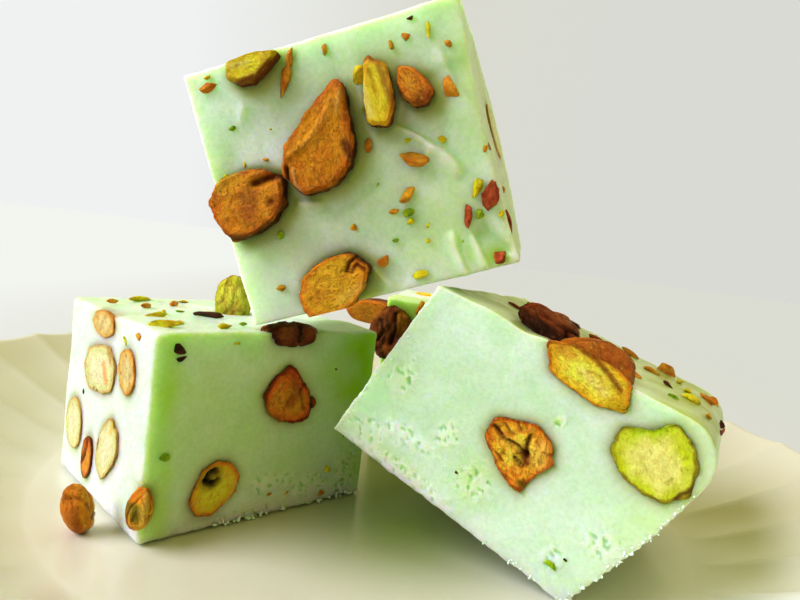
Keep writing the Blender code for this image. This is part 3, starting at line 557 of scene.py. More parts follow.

# Strokes on the kernels by name: spots, then width, shade, sink and share. The light raised strokes on
# nut_left_rim and nut_right_top are painted highlights.
STROKES = {
    "nut_left_drop": (((19.5, 19.4, 19.8, 17, 19, 15.4), 0.9, (160, 44, 26), 0, 0.55),
        ((22.3, 17.2, 22.7, 15.2, 23, 13.6), 0.35, BLACK, 0.35),
        ((16.2, 14.8, 17.6, 13.2), 1.3, (232, 168, 56), 0, 0.5),
        ((17.2, 18, 16.2, 16.6, 16, 15), 0.25, (240, 176, 70), -0.1, 0.6),
        ((21, 18.4, 20.6, 16.8, 21.4, 14.4), 0.3, RED_BROWN, 0.2, 0.6)),
    "nut_left_heart": (((8.2, 6.6, 8.9, 6.9), 1.25, (170, 150, 40), 0.3, 0.8),
        ((9.2, 7.6, 8.5, 7.3, 8.2, 6.6), 0.42, BLACK, 0.8, 1),
        ((8.2, 6.3, 9, 5.9, 9.5, 6.3), 0.38, BLACK, 0.8, 1), ((9, 6.8), 0.34, (206, 196, 70), -0.5, 1),
        ((11.2, 6.9, 11.9, 5.2, 10.8, 3.4), 0.4, (250, 226, 90), 0, 0.5)),
    "nut_left_corner": (((0.4, 6.6, -0.1, 5, 0.2, 3), 0.3, (250, 214, 110), -0.15),
        ((-0.8, 5.2, -0.7, 4), 0.5, (128, 126, 30), 0.45)),
    "nut_left_rim": (((19.3, -0.6, 19.5, 1.4, 19.1, 3.4), 0.22, BLACK, 0.5, 1),
        # the next two strokes are painted highlights
        ((16.2, -0.4, 17.8, -0.4), 0.5, (196, 120, 50), -0.1, 0.6),
        ((20.8, -0.4, 22, 0.2), 0.5, (186, 96, 46), -0.1, 0.6)),
    "nut_left_oval": (((17, 20.3), 0.35, (60, 30, 44), 0.3), ((18.2, 19.6), 0.2, BLACK, 0.2),
        ((13.6, 19.6, 13.9, 17.4), 0.6, (252, 176, 70), 0, 0.8),
        ((11.9, 17.6, 12.2, 15.6), 0.35, (214, 150, 50), 0.15)),
    "nut_left_almond": (((8.5, 10.2, 8.2, 8.4, 8.6, 6.4), 0.25, (170, 90, 50), 0.1),
        ((11.4, 12.4, 11.2, 10.8), 0.45, (240, 214, 90), 0, 0.8)),
    "nut_left_small": (((16.8, 7, 17, 5.4, 16.6, 3.6), 0.3, BLACK, 0.3),
        ((18.4, 5.6, 18.4, 3.4), 0.3, (244, 200, 60), 0, 0.8)),
    "nut_right_cracked": (((15.2, 12.3, 16.8, 11.6, 18.6, 11.9, 20, 11.5), 0.2, RED_BROWN, 0.55),
        ((19.1, 13.7, 19.6, 12.2, 20.1, 11.2), 0.24, RED_BROWN, 0.5),
        ((19.9, 11.4, 20.4, 10.6), 0.55, (130, 44, 14), 0.4),
        ((18.9, 10.5, 20.1, 10.1), 0.18, RED_BROWN, 0.35),
        ((16, 13.2, 17.6, 12.7), 0.15, (150, 70, 20), 0.2),
        ((16.9, 9.7, 18.2, 9.3), 0.15, (150, 70, 20), 0.2),
        ((17.2, 14.2, 17.9, 13.6), 0.15, (150, 70, 20), 0.2), ((21.4, 8.3), 0.6, (96, 92, 16), 0.3),
        ((20.8, 13.4, 21.6, 11.6), 1, (240, 204, 110), 0, 0.5)),
    "nut_right_green": (((33.6, 19.8, 33.8, 18, 33, 15.9), 0.26, (110, 62, 20), 0.2),
        ((27.6, 14.3, 30.2, 13.6, 32.4, 14.4), 0.14, (90, 70, 16), 0.3),
        ((26.2, 20.4, 27.8, 21.8), 1.1, (176, 214, 20), 0, 0.7),
        ((25.6, 17, 26.6, 15), 0.7, (206, 214, 10), 0, 0.7),
        ((28, 17.4, 30.4, 16.2), 0.2, (206, 206, 70), 0.1, 0.5), ((31.6, 17.2), 0.25, (150, 160, 30), 0.1)),
    "nut_right_rim": (((22.6, 21, 24, 21.4), 0.8, (200, 176, 20), 0, 0.7),
        ((14.6, 23.4, 16.4, 23.4), 0.6, (222, 150, 60), 0, 0.6),
        ((15.6, 24.6, 19, 24.4, 22.6, 23), 0.35, (150, 76, 20), 0.15, 0.8),
        ((18, 22.6, 21.4, 21.8), 0.5, (252, 240, 150), 0, 0.6)),
    # a painted highlight along nut_right_top
    "nut_right_top": (((8.4, 4.6, 11.6, 5.6, 15, 5.2), 0.4, (196, 110, 46), -0.15, 0.6),),
    "nut_top_drop": (((10.2, 17.6, 9.9, 16, 10.3, 14.6), 0.26, RED_BROWN, 0.45),
        ((10.9, 17.2, 10.7, 15.6, 11.2, 14.4), 0.16, (240, 206, 150), -0.12, 0.7),
        ((17.4, 23.6, 15.6, 21.6, 13.6, 19.9, 10.9, 18.9), 0.4, (236, 180, 70), -0.3, 0.5),
        ((18.6, 24.2, 17.4, 22), 0.3, (240, 200, 120), -0.15, 0.5),
        ((12, 15.6, 14.4, 14.8), 1.2, (224, 160, 30), 0, 0.5),
        ((17.6, 18.6, 18.2, 15.4, 17, 13.4), 0.55, (110, 44, 16), 0.15, 0.8),
        ((11.2, 13.2, 13.6, 12.8, 15.6, 13.2), 0.3, (206, 110, 50), -0.1, 0.7)),
    "nut_top_left": (((9.4, 17, 7.6, 17.1, 5.8, 16.9), 0.42, RED_BROWN, 0.55),
        ((8.8, 17.9, 7, 18, 5.6, 17.8), 0.25, (214, 140, 40), -0.15, 0.7),
        ((7.2, 14.3), 0.5, (120, 34, 16), 0.25), ((4.6, 15.6, 4.4, 13.4), 1.3, (178, 92, 24), 0, 0.6),
        ((1.6, 17.6, 3.6, 18.4), 0.9, (232, 190, 50), 0, 0.6),
        ((-0.6, 15.8, 0.4, 13), 0.4, (236, 150, 40), -0.1, 0.7),
        ((1, 11.4, 3.6, 10.8, 6.4, 11.8), 0.5, (96, 70, 20), 0.1, 0.8),
        ((7.8, 12.8, 8.8, 14.2), 0.5, (150, 86, 24), 0, 0.7)),
    "nut_top_foot": (((13.8, 4.2, 14.6, 5.2, 15.3, 5.5, 16.3, 4.5), 0.24, RED_BROWN, 0.4),
        ((14.3, 3.9, 15.3, 4.7, 16, 3.9), 0.2, (150, 70, 24), 0.25),
        ((9, 5.6, 11.6, 6.4, 14, 6.6), 0.3, (128, 62, 20), 0.1, 0.8),
        ((12.4, 1, 15.4, 2), 0.7, (250, 214, 110), 0, 0.5),
        ((8, 3.6, 9.8, 2.2), 0.8, (228, 160, 40), 0, 0.5)),
    "nut_top_slice": (((21.3, 26.6, 21.2, 24, 21.4, 20.8), 0.4, YELLOW, 0, 0.8),
        ((23.7, 26.2, 23.9, 23.6, 24.2, 20.8), 0.45, (172, 104, 30), 0, 0.7),
        ((21.8, 26.8, 22.6, 27.3, 23.2, 26.6), 0.4, (150, 74, 34), 0.1, 0.8),
        ((22.4, 25.6, 22.7, 22.6), 0.25, (196, 150, 30), 0.1, 0.6)),
    "nut_top_round": (((28, 21.4, 27, 21), 0.7, (140, 66, 16), 0, 0.7),
        ((26.2, 24.4, 26.6, 23), 0.5, (244, 186, 64), 0, 0.6),
        ((25.6, 22, 26.6, 21.4), 0.3, (236, 170, 60), -0.1, 0.6)),
    "nut_top_brow": (((7, 28.5, 9.4, 28.6, 11.4, 29.8), 0.4, (140, 62, 20), 0, 0.85),
        ((6, 30.6, 8.8, 30.4), 0.3, YELLOW, 0, 0.6)),
    "nut_back_dark": (((3.4, 25.6, 4.4, 23.2), 1.1, (220, 150, 40), 0.3),
        ((2.4, 26, 2.8, 23.4, 2.2, 20.6), 0.3, BLACK, 0.5),
        ((0, 24.6, 0.8, 22.6, -0.6, 20.4), 0.25, BLACK, 0.4, 0.8),
        ((1.4, 19.4, 3, 19), 0.9, (214, 130, 50), -0.2, 0.8),
        ((-1.2, 25, 0.8, 26.2), 0.5, (190, 120, 40), -0.2, 0.7)),
    "nut_loose": (((1.7, 0.2, 2.3, -0.3), 0.6, (252, 240, 244), -0.1, 1),
        ((1, 0.9, 1.2, -0.8), 0.25, RED_BROWN, 0.2)),
}

# ---------------------------------------------------------------- numbers
def carry(matrix, points):
    """Points in millimetres moved by a matrix whose place is in metres."""
    turned = np.array(matrix, float)
    return points @ turned[:3, :3].T + turned[:3, 3] / MM


def ease(value, low, high):
    """0 below low, 1 above high, smooth between."""
    share = np.clip((value - low) / (high - low), 0, 1)
    return share * share * (3 - 2 * share)


def mix(first, second, share):
    """Blend colours, row by row."""
    share = np.asarray(share)[..., None]
    return np.asarray(first) * (1 - share) + np.asarray(second) * share


def hashed(cell, salt):
    """A repeatable number from -1 to 1 for each whole-number cell."""
    x, y, z = np.moveaxis(cell.astype(np.int64), -1, 0)
    mixed = (x * 374761393 + y * 668265263 + z * 1440662683 + salt * 974634777) & 0xFFFFFFFF
    mixed = ((mixed ^ (mixed >> 13)) * 1274126177) & 0xFFFFFFFF
    return (mixed ^ (mixed >> 16)) / 0x7FFFFFFF - 1.0


def ripple(points, size, salt=0, octaves=1):
    """Smooth repeatable noise of about -1 to 1, with bumps about as wide as size."""
    total = np.zeros(len(points))
    for octave in range(octaves):
        spot = points / size * 2 ** octave + 17.3 + 5.1 * salt
        cell = np.floor(spot)
        part = spot - cell
        near = part ** 3 * (part * (part * 6 - 15) + 10)
        for corner in itertools.product((0, 1), repeat=3):
            weight = np.prod(np.where(corner, near, 1 - near), axis=1)
            slope = sum(hashed(cell + corner, salt * 11 + axis) * (part[:, axis] - corner[axis])
                        for axis in range(3))
            total += 1.5 * 0.5 ** octave * weight * slope
    return total


def crease(points, size, salt=0, sharpness=5):
    """1 along thin wandering lines about size apart, 0 between them."""
    return (1 - np.minimum(1, np.abs(ripple(points, size, salt)) * 1.6)) ** sharpness


# ---------------------------------------------------------------- meshes and pieces
# Kind and key of the layer for a mark, by how many numbers it has for each point
LAYERS = {1: ("FLOAT", "value"), 3: ("FLOAT_VECTOR", "vector"), 4: ("FLOAT_COLOR", "color")}


def place_object(name, data):
    """An object in the scene for a mesh, lamp or camera."""
    thing = bpy.data.objects.new(name, data)
    bpy.context.scene.collection.objects.link(thing)
    return thing


def make_piece(name, points, faces, material, slot, replaced=(), **marks):
    """A mesh piece from points in millimetres, riding with the dish, with the marks that colour it."""
    mesh = bpy.data.meshes.new(name)
    mesh.from_pydata((points * MM).tolist(), [], faces if isinstance(faces, list) else faces.tolist())
    mesh.update()
    for mark, values in marks.items():
        values = np.asarray(values, np.float32).reshape(len(points), -1)
        kind, key = LAYERS[values.shape[1]]
        mesh.attributes.new(mark, kind, "POINT").data.foreach_set(key, values.ravel())
    mesh.shade_smooth()
    mesh.materials.append(material)
    thing = place_object(name, mesh)
    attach(thing, "root")
    if replaced:
        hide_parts(*replaced)


def opaque(paint):
    """The same colours with an alpha of 1."""
    return np.c_[paint, np.ones(len(paint))]


def ball(fineness):
    """Points and triangles of a unit sphere."""
    shape = bmesh.new()
    bmesh.ops.create_icosphere(shape, subdivisions=fineness, radius=1.0)
    points = np.array([vert.co for vert in shape.verts])
    faces = np.array([[vert.index for vert in face.verts] for face in shape.faces])
    shape.free()
    return points, faces


# ---------------------------------------------------------------- materials
FUDGE_DEEP = (213, 233, 207)
FUDGE_PALE = (228, 241, 229)
FUDGE_CUT = (248, 248, 248)      # a cut face is a little darker than a poured one
FUDGE_SPECK = (232, 243, 226)
# the colour of pale crumbs, also used for painted light and painted highlights on folds; the next three
# colours are painted shade
FUDGE_CRUMB_AND_PAINTED_LIGHT = (238, 247, 236)
FUDGE_PAINTED_DARK_SHADE = (184, 222, 166)
FUDGE_PAINTED_GREEN_SHADE = (184, 222, 40)
FUDGE_PAINTED_OLIVE_SHADE = (164, 178, 44)
GLAZE_DEEP = (213, 208, 191)
GLAZE_PALE = (221, 217, 202)
GLAZE_PAINTED_SHADE = (124, 142, 16)     # painted green shade where the dish sees little but fudge
# painted light: the window's reflection in the glaze
GLAZE_PAINTED_LIGHT = (244, 245, 243)
NUT_CRACK = (84, 30, 12)
WHITE = (1, 1, 1)
NONE = (0, 0, 0)
MIX_FIRST, MIX_SECOND, MIX_RESULT = 6, 7, 2      # the sockets of a mix node that carry colours


def new_material(name):
    """A material, its node tree and its shader."""
    material = bpy.data.materials.new(name)
    material.use_nodes = True
    tree = material.node_tree
    return material, tree, tree.nodes["Principled BSDF"]


def fill(tree, node, inputs):
    """Link inputs of a node to sockets, or set their values."""
    for name, value in inputs.items():
        socket = node.inputs[name]
        if isinstance(value, bpy.types.NodeSocket):
            tree.links.new(value, socket)
        elif socket.type == "RGBA":
            socket.default_value = (*value, 1.0)
        else:
            socket.default_value = value


def add_node(tree, kind, output, inputs, **settings):
    """A new node with its settings and inputs, and the output that is wanted of it."""
    node = tree.nodes.new("ShaderNode" + kind)
    for name, value in settings.items():
        setattr(node, name, value)
    fill(tree, node, inputs)
    return node.outputs[output]


def read_mark(tree, name, output="Fac"):
    """What make_piece stored under a name."""
    return add_node(tree, "Attribute", output, {}, attribute_name=name)


def add_noise(tree, place, scale, detail=3.0, roughness=0.55, distortion=0.0):
    """Noise of about 0.5, with features about 1 / scale apart."""
    return add_node(tree, "TexNoise", "Fac", {"Vector": place, "Scale": scale, "Detail": detail,
                                              "Roughness": roughness, "Distortion": distortion})


def add_ramp(tree, value, *stops):
    """Colours at stops from 0 to 1 of a value."""
    node = tree.nodes.new("ShaderNodeValToRGB")
    elements = node.color_ramp.elements
    while len(elements) < len(stops):
        elements.new(0.5)
    for element, (at, shade) in zip(elements, stops):
        element.position = at
        element.color = (*shade, 1.0)
    fill(tree, node, {"Fac": value})
    return node.outputs["Color"]


def add_mix(tree, first, second, share, blend="MIX"):
    """The first colour with a share of the second blended in."""
    return add_node(tree, "Mix", MIX_RESULT, {MIX_FIRST: first, MIX_SECOND: second, 0: share},
                    data_type="RGBA", blend_type=blend)


def add_math(tree, operation, first, second):
    return add_node(tree, "Math", "Value", {0: first, 1: second}, operation=operation)


def add_span(tree, value, low, high):
    """A value from 0 to 1 spread from low to high."""
    return add_node(tree, "MapRange", "Result", {"Value": value, "To Min": low, "To Max": high})


def add_bump(tree, shader, height, distance, strength):
    """Relief of a shader, in metres of distance."""
    normal = add_node(tree, "Bump", "Normal", {"Height": height, "Distance": distance, "Strength": strength})
    fill(tree, shader, {"Normal": normal})


def fudge_material():
    """Mint fudge: cloudy, speckled, grainy where it is cut and smooth where it was poured, with painted shade
    and painted light from its marks.
    """
    material, tree, shader = new_material("mint fudge")
    place = read_mark(tree, "local", "Vector")
    cloud = add_noise(tree, place, 0.13, 5.0, 0.55, 0.8)
    body = add_ramp(tree, cloud, (0.34, colour(*FUDGE_DEEP)), (0.64, colour(*FUDGE_PALE)))
    fine = add_noise(tree, place, 1.9, 4.0, 0.6)
    specks = add_ramp(tree, fine, (0.34, colour(*FUDGE_SPECK)), (0.60, WHITE))
    speckled = add_mix(tree, body, specks, 0.6, "MULTIPLY")
    poured = read_mark(tree, "poured")
    dimmed = add_ramp(tree, poured, (0.0, colour(*FUDGE_CUT)), (1.0, WHITE))
    shade = add_mix(tree, speckled, dimmed, 1.0, "MULTIPLY")
    # the crumb mark: pale crumbs, painted light from the pale tints and painted highlights on raised folds
    crumb = read_mark(tree, "crumb")
    shade = add_mix(tree, shade, colour(*FUDGE_CRUMB_AND_PAINTED_LIGHT), crumb)
    # painted shade: dark, green and olive, from the marks of the pits, tints and nuts
    for mark, tone in (("pit", FUDGE_PAINTED_DARK_SHADE), ("green", FUDGE_PAINTED_GREEN_SHADE), ("stain", FUDGE_PAINTED_OLIVE_SHADE)):
        shade = add_mix(tree, shade, colour(*tone), read_mark(tree, mark))
    fill(tree, shader, {"Base Color": shade, "Roughness": add_span(tree, poured, 0.56, 0.30),
                        "Specular IOR Level": 0.35, "Subsurface Weight": 1.0,
                        "Subsurface Radius": (0.55, 1.0, 0.20), "Subsurface Scale": 0.0042})
    grain = add_math(tree, "MULTIPLY", add_noise(tree, place, 2.8, 5.0, 0.7),
                     add_math(tree, "ADD", add_span(tree, poured, 0.30, 0.10), crumb))
    add_bump(tree, shader, grain, 0.00034, 0.8)
    return material


def crumb_material():
    """Dry crumbs, too small to let light through as the blocks do."""
    material, tree, shader = new_material("fudge crumb")
    place = read_mark(tree, "local", "Vector")
    cloud = add_noise(tree, place, 1.2)
    shade = add_ramp(tree, cloud, (0.35, colour(*FUDGE_DEEP)), (0.6, colour(*FUDGE_PALE)))
    fill(tree, shader, {"Base Color": shade, "Roughness": 0.7})
    return material


def nut_material(name, roughness, glint=(1.0, 0.72, 0.12)):
    """Kernel flesh and skin: painted, then streaked along its length, with painted glints and fine dark
    cracks.
    """
    material, tree, shader = new_material(name)
    place = read_mark(tree, "local", "Vector")
    along = add_node(tree, "Mapping", "Vector", {"Vector": place, "Scale": (0.65, 1.0, 1.0)})
    fibre = add_noise(tree, along, 1.9, 7.0, 0.72, 1.0)
    streaks = add_ramp(tree, fibre, (0.30, (0.50, 0.32, 0.18)), (0.42, (0.88, 0.80, 0.66)), (0.52, WHITE))
    painted = add_mix(tree, read_mark(tree, "paint", "Color"), streaks, 0.7, "MULTIPLY")
    patches = add_ramp(tree, add_noise(tree, along, 0.42, 3.0, 0.5, 0.8), (0.36, (0.86, 0.56, 0.34)),
                       (0.50, WHITE), (0.64, (1.0, 1.0, 0.80)))
    varied = add_mix(tree, painted, patches, read_mark(tree, "wear"), "MULTIPLY")
    # painted glints: the glint colour is mixed in where this noise is high
    pale = add_noise(tree, along, 2.6, 5.0, 0.7, 0.6)
    lit = add_mix(tree, varied, glint, add_ramp(tree, pale, (0.56, NONE), (0.72, (0.4, 0.4, 0.4))))
    line = add_noise(tree, along, 1.1, 4.0, 0.65, 1.2)
    split = add_ramp(tree, line, (0.480, NONE), (0.497, (0.8, 0.8, 0.8)), (0.514, NONE))
    worn = add_math(tree, "MULTIPLY", split, read_mark(tree, "wear"))
    cracked = add_mix(tree, lit, colour(*NUT_CRACK), worn)
    fill(tree, shader, {"Base Color": cracked, "Roughness": roughness, "Specular IOR Level": 0.36,
                        "Specular Tint": (1.0, 0.84, 0.50), "Subsurface Weight": 0.12,
                        "Subsurface Radius": (1.0, 0.6, 0.2), "Subsurface Scale": 0.0006})
    grain = add_noise(tree, along, 3.4, 6.0, 0.75, 0.8)
    add_bump(tree, shader, add_math(tree, "SUBTRACT", grain, worn), 0.00034, 0.9)
    return material


def glaze_material():
    """Glossy cream glaze, with painted green shade under the pile and painted light where the window would
    show in it.
    """
    material, tree, shader = new_material("cream glaze")
    where = tree.nodes.new("ShaderNodeTexCoord").outputs["Object"]
    cloud = add_noise(tree, where, 28.0, 4.0, 0.5, 0.4)
    body = add_ramp(tree, cloud, (0.3, colour(*GLAZE_DEEP)), (0.7, colour(*GLAZE_PALE)))
    # painted shade, then painted light, from the marks that make_dish gives the glaze
    shaded = add_mix(tree, body, colour(*GLAZE_PAINTED_SHADE), read_mark(tree, "shade"))
    lifted = add_mix(tree, shaded, colour(*GLAZE_PAINTED_LIGHT), read_mark(tree, "bright"))
    fill(tree, shader, {"Base Color": lifted, "Roughness": 0.30, "Specular IOR Level": 0.5,
                        "Coat Weight": 0.25, "Coat Roughness": 0.12})
    add_bump(tree, shader, add_noise(tree, where, 220.0, 3.0), 0.00005, 0.4)
    return material


# ---------------------------------------------------------------- dish
GLAZE_SPOTS = (                  # painted shade and painted light on the glaze: mark, X and Y of the middle, width and share
    ("shade", 6.0, -17.0, 14.0, 0.80), ("shade", 30.0, -20.0, 12.0, 0.35),
    ("bright", 50.0, -34.0, 20.0, 0.90), ("bright", -52.0, 6.0, 26.0, 0.40),
)


def dish_profile():
    """Half section of the dish from the middle of its well, over the rim, to under its middle."""
    well = FLOOR - GLAZE_SINK
    rise = RIM_HEIGHT - well
    reach = DISH_RADIUS - WELL_RADIUS
    inside = [(0.0, 0.0), (0.05, 0.004), (0.14, 0.055), (0.28, 0.185), (0.42, 0.33), (0.57, 0.50),
              (0.72, 0.67), (0.87, 0.87), (0.955, 0.985)]
    line = [(radius, well) for radius in np.linspace(0, WELL_RADIUS, 16)[:-1]]
    line += smooth_line([(WELL_RADIUS + reach * along, well + rise * up) for along, up in inside], 4)
    rim = [(DISH_RADIUS - RIM_ROUND + RIM_ROUND * math.sin(angle),
            RIM_HEIGHT - RIM_DROP + RIM_CROWN * math.cos(angle)) for angle in np.linspace(0.25, 2.4, 8)]
    outside = [(WELL_RADIUS + reach * along, WELL_HEIGHT - WALL + (RIM_HEIGHT - WELL_HEIGHT) * up)
               for along, up in ((0.94, 0.95), (0.76, 0.62), (0.42, 0.24), (0.2, 0.08), (0.06, 0.0))]
    foot = [(FOOT_OUTER + 0.5, 1.2), (FOOT_OUTER, FOOT_EDGE), (FOOT_OUTER - FOOT_EDGE, 0.0),
            (FOOT_INNER + FOOT_EDGE, 0.0), (FOOT_INNER, FOOT_EDGE), (FOOT_INNER - 1.0, FOOT_HEIGHT),
            (0.0, FOOT_HEIGHT)]
    return line + rim + smooth_line(outside, 3) + foot


def smooth_line(points, steps):
    """More points along a curve through the given ones."""
    points = [np.array(p, float) for p in points]
    padded = [2 * points[0] - points[1]] + points + [2 * points[-1] - points[-2]]
    line = []
    for a, b, c, d in zip(padded, padded[1:], padded[2:], padded[3:]):
        for t in np.arange(steps) / steps:
            line.append(tuple(0.5 * (2 * b + (c - a) * t + (2 * a - 5 * b + 4 * c - d) * t ** 2
                                     + (3 * b - a - 3 * c + d) * t ** 3)))
    return line + [tuple(points[-1])]


def flute(points):
    """Press the round-ended radial flutes into the sloping wall."""
    radius = np.hypot(points[:, 0], points[:, 1])
    angle = np.arctan2(points[:, 1], points[:, 0])
    along = np.clip((radius - WELL_RADIUS) / (DISH_RADIUS - WELL_RADIUS), 0, None)
    phase = (angle * FLUTES / (2 * math.pi)) % 1.0
    groove = np.sin(math.pi * phase) ** 0.8 * ease(along, 0.0, 0.4)
    scale = 1.0 + RIM_SCALLOP * groove * along / np.maximum(radius, 1)
    moved = points * np.stack([scale, scale, np.ones(len(points))], axis=1)
    moved[:, 2] -= FLUTE_DEPTH * groove
    return moved


def make_dish(material):
    """The dish, turned from its profile, with its flutes."""
    profile = np.array(dish_profile())
    turns = FLUTES * FLUTE_STEPS
    angles = 2 * math.pi * np.arange(turns) / turns
    rows = profile[1:-1]
    rings = np.stack([np.stack([rows[:, 0] * math.cos(a), rows[:, 0] * math.sin(a), rows[:, 1]], axis=1)
                      for a in angles])
    count = len(rows)
    points = flute(rings.reshape(-1, 3))
    middle = len(points)
    points = np.vstack([points, [[0, 0, profile[0][1]], [0, 0, profile[-1][1]]]])
    wall, caps = [], []
    for turn in range(turns):
        here, there = turn * count, ((turn + 1) % turns) * count
        wall += [[here + k, here + k + 1, there + k + 1, there + k] for k in range(count - 1)]
        caps += [[middle, here, there], [middle + 1, there + count - 1, here + count - 1]]
    # painted shade under the pile and painted light where the window would show in the glaze
    marks = {"shade": np.zeros(len(points)), "bright": np.zeros(len(points))}
    for mark, x, y, width, share in GLAZE_SPOTS:
        away = np.hypot(points[:, 0] - x, points[:, 1] - y)
        marks[mark] = np.maximum(marks[mark], share * np.exp(-(away / width) ** 2))
    make_piece("dish_glazed", points, wall + caps, material, "glaze", ["dish"], **marks)


# ---------------------------------------------------------------- blocks
def shell_grid(cells):
    """Whole-number points over the surface of a box of cells, and the quads between them."""
    points, quads, first = [], [], 0
    for axis in range(3):
        across, up = (axis + 1) % 3, (axis + 2) % 3
        rows = cells[up] + 1
        a, b = np.meshgrid(np.arange(cells[across] + 1), np.arange(rows), indexing="ij")
        corner = (np.arange(cells[across])[:, None] * rows + np.arange(cells[up])).ravel()
        for side in (0, 1):
            face = np.zeros((a.size, 3), int)
            face[:, axis], face[:, across], face[:, up] = side * cells[axis], a.ravel(), b.ravel()
            quad = np.stack([corner, corner + rows, corner + rows + 1, corner + 1], axis=1) + first
            quads.append(quad if side else quad[:, ::-1])
            points.append(face)
            first += len(face)
    whole, index = np.unique(np.concatenate(points), axis=0, return_inverse=True)
    return whole, index.ravel()[np.concatenate(quads)]


def slow_noise(points, size):
    """The same noise that shaped the solids."""
    return np.array([noise.noise(Vector(point) * size) for point in points])


def rounded(block, box):
    """Points on the true box with its edges and its shoulder rounded, and the way out from each."""
    size = np.array(block.size)
    core = np.clip(box, block.edge, size - block.edge)
    out = box - core
    out /= np.linalg.norm(out, axis=1, keepdims=True)
    points = core + out * block.edge
    if block.shoulder:
        beside = points[:, 0] - (size[0] - block.shoulder)
        above = points[:, 2] - (size[2] - block.shoulder)
        round_it = (beside > 0) & (above > 0)
        pull = np.maximum(beside, above) / np.maximum(np.hypot(beside, above), 1e-6)
        points[round_it, 0] = (size[0] - block.shoulder + beside * pull)[round_it]
        points[round_it, 2] = (size[2] - block.shoulder + above * pull)[round_it]
    return points, out


def poured_swirl(block, points):
    """Sink the poured face by its swirls, and what lies under it by less."""
    axis, side = FACES[block.poured][:2]
    level = block.size[axis] if side > 0 else 0.0
    skin = points.copy()
    skin[:, axis] = level
    here = skin + np.array(SEED_STEP) * block.seed
    bend = slow_noise(here, 0.09) * 5.0
    bent = here + np.stack([bend, -bend, bend], axis=1)
    swirl = slow_noise(bent, 0.16)
    depth = POURED_RELIEF * (0.5 + 0.5 * swirl)
    streaks = ripple(bent, 3.4, salt=3, octaves=2)
    depth += 0.10 * streaks
    under = np.abs(points[:, axis] - level)
    moved = points.copy()
    moved[:, axis] -= side * depth * (1 - ease(under, 0.0, POURED_SINK))
    return moved


def on_face(points, out, face):
    """How much each point belongs to a face, and its place across and up it."""
    axis, side, across, up = FACES[face]
    return ease(out[:, axis] * side, 0.55, 0.9), points[:, across], points[:, up]


def fold_height(block, fold, points, out):
    """How far a fold raises each point: steep on one side, gentle on the other."""
    share, u, v = on_face(points, out, block.poured)
    start, end = np.array(fold.start), np.array(fold.end)
    run = end - start
    length = np.linalg.norm(run)
    along = ((u - start[0]) * run[0] + (v - start[1]) * run[1]) / length ** 2
    aside = ((u - start[0]) * -run[1] + (v - start[1]) * run[0]) / length
    aside = aside - fold.bend * np.sin(math.pi * np.clip(along, 0, 1))
    ends = ease(along, -0.15, 0.15) * ease(-along, -1.15, -0.85)
    steep = np.where(aside > 0, fold.width * FOLD_STEEP, fold.width * FOLD_GENTLE)
    return share * fold.height * ends * np.exp(-(aside / steep) ** 2)


def soft_spot(item, u, v):
    """1 in the middle of a patch or tint, and less the further from it."""
    return np.exp(-(((u - item.u) / item.wide) ** 2 + ((v - item.v) / item.tall) ** 2))


def patch_crumbs(patch, points, out):
    """Depth of a crumbly patch, how much of it is loose pale crumb, and how much is sunk into pits and
    painted darker as shade.
    """
    share, u, v = on_face(points, out, patch.face)
    spread = share * ease(soft_spot(patch, u, v) + 0.35 * ripple(points, 1.3, salt=5, octaves=2), 0.25, 0.85)
    pits = ease(ripple(points * (1, 1, 1.5), 0.85, salt=6, octaves=2), 0.12, 0.55)
    return spread * patch.depth * pits, spread * (1 - pits), spread * pits


def outline_radius(nut, angle):
    """Radius of a nut's outline at each angle about its face: straight sides with softened corners."""
    radii = np.array(nut.outline)
    step = 2 * math.pi / len(radii)

    def straight(angle):
        first = np.floor(angle / step).astype(int)
        here, there = radii[first % len(radii)], radii[(first + 1) % len(radii)]
        part = angle - first * step
        return here * there * math.sin(step) / (here * np.sin(part) + there * np.sin(step - part))

    return sum(straight(angle + shift) for shift in (-CORNER, 0, CORNER)) / 3


def nut_distance(block, nut, points):
    """Distance outside the outline of a nut on its face, negative inside, and how near the face."""
    place = carry(face_frame(block, nut).inverted(), points)
    near = np.exp(-(place[:, 2] / NEAR_FACE) ** 2)
    if nut.outline:
        angle = np.arctan2(place[:, 1], place[:, 0])
        return np.hypot(place[:, 0], place[:, 1]) - outline_radius(nut, angle), near
    half = np.array((nut.length, nut.width, nut.thick)) / 2
    x, y, z = (place / half).T
    scale = np.sqrt(half[0] * half[1])
    if nut.stands:
        return (np.sqrt(x * x + y * y + z * z) - 1) * scale, 1.0
    return (np.sqrt(x * x + y * y) - 1) * scale, near


def fade_out(gap, width):
    """1 inside an outline, and less the further a point is outside it."""
    return np.exp(-(np.maximum(gap, 0) / width) ** 2)


def press_nuts(piece, points, depth, stain):
    """The depths and painted olive shade of a block's points, with the dents of its nuts, the painted contact
    shade round them and their painted shadows added.
    """
    block = piece.block
    for nut in piece.nuts:
        gap, near = nut_distance(block, nut, points)
        depth = depth + near * fade_out(gap, PRESS_WIDTH) * (PRESS_SLICED if nut.sliced else PRESS_WHOLE)
        # painted contact shade round each nut
        stain = np.maximum(stain, near * fade_out(gap, CONTACT_SHADE_WIDTH) * CONTACT_SHADE_SHARE)
        if nut.sliced:
            depth = depth + near * PIT * ease(-gap, 0.25, 0.9)
        elif nut.face == block.poured == "front":
            # a whole nut on a poured front casts a painted shadow, shifted away from the window
            gap, near = nut_distance(block, nut, points - PAINTED_SHADOW_SHIFT)
            stain = np.maximum(stain, near * fade_out(gap, PAINTED_SHADOW_WIDTH) * PAINTED_SHADOW_SHARE)
    return depth, stain


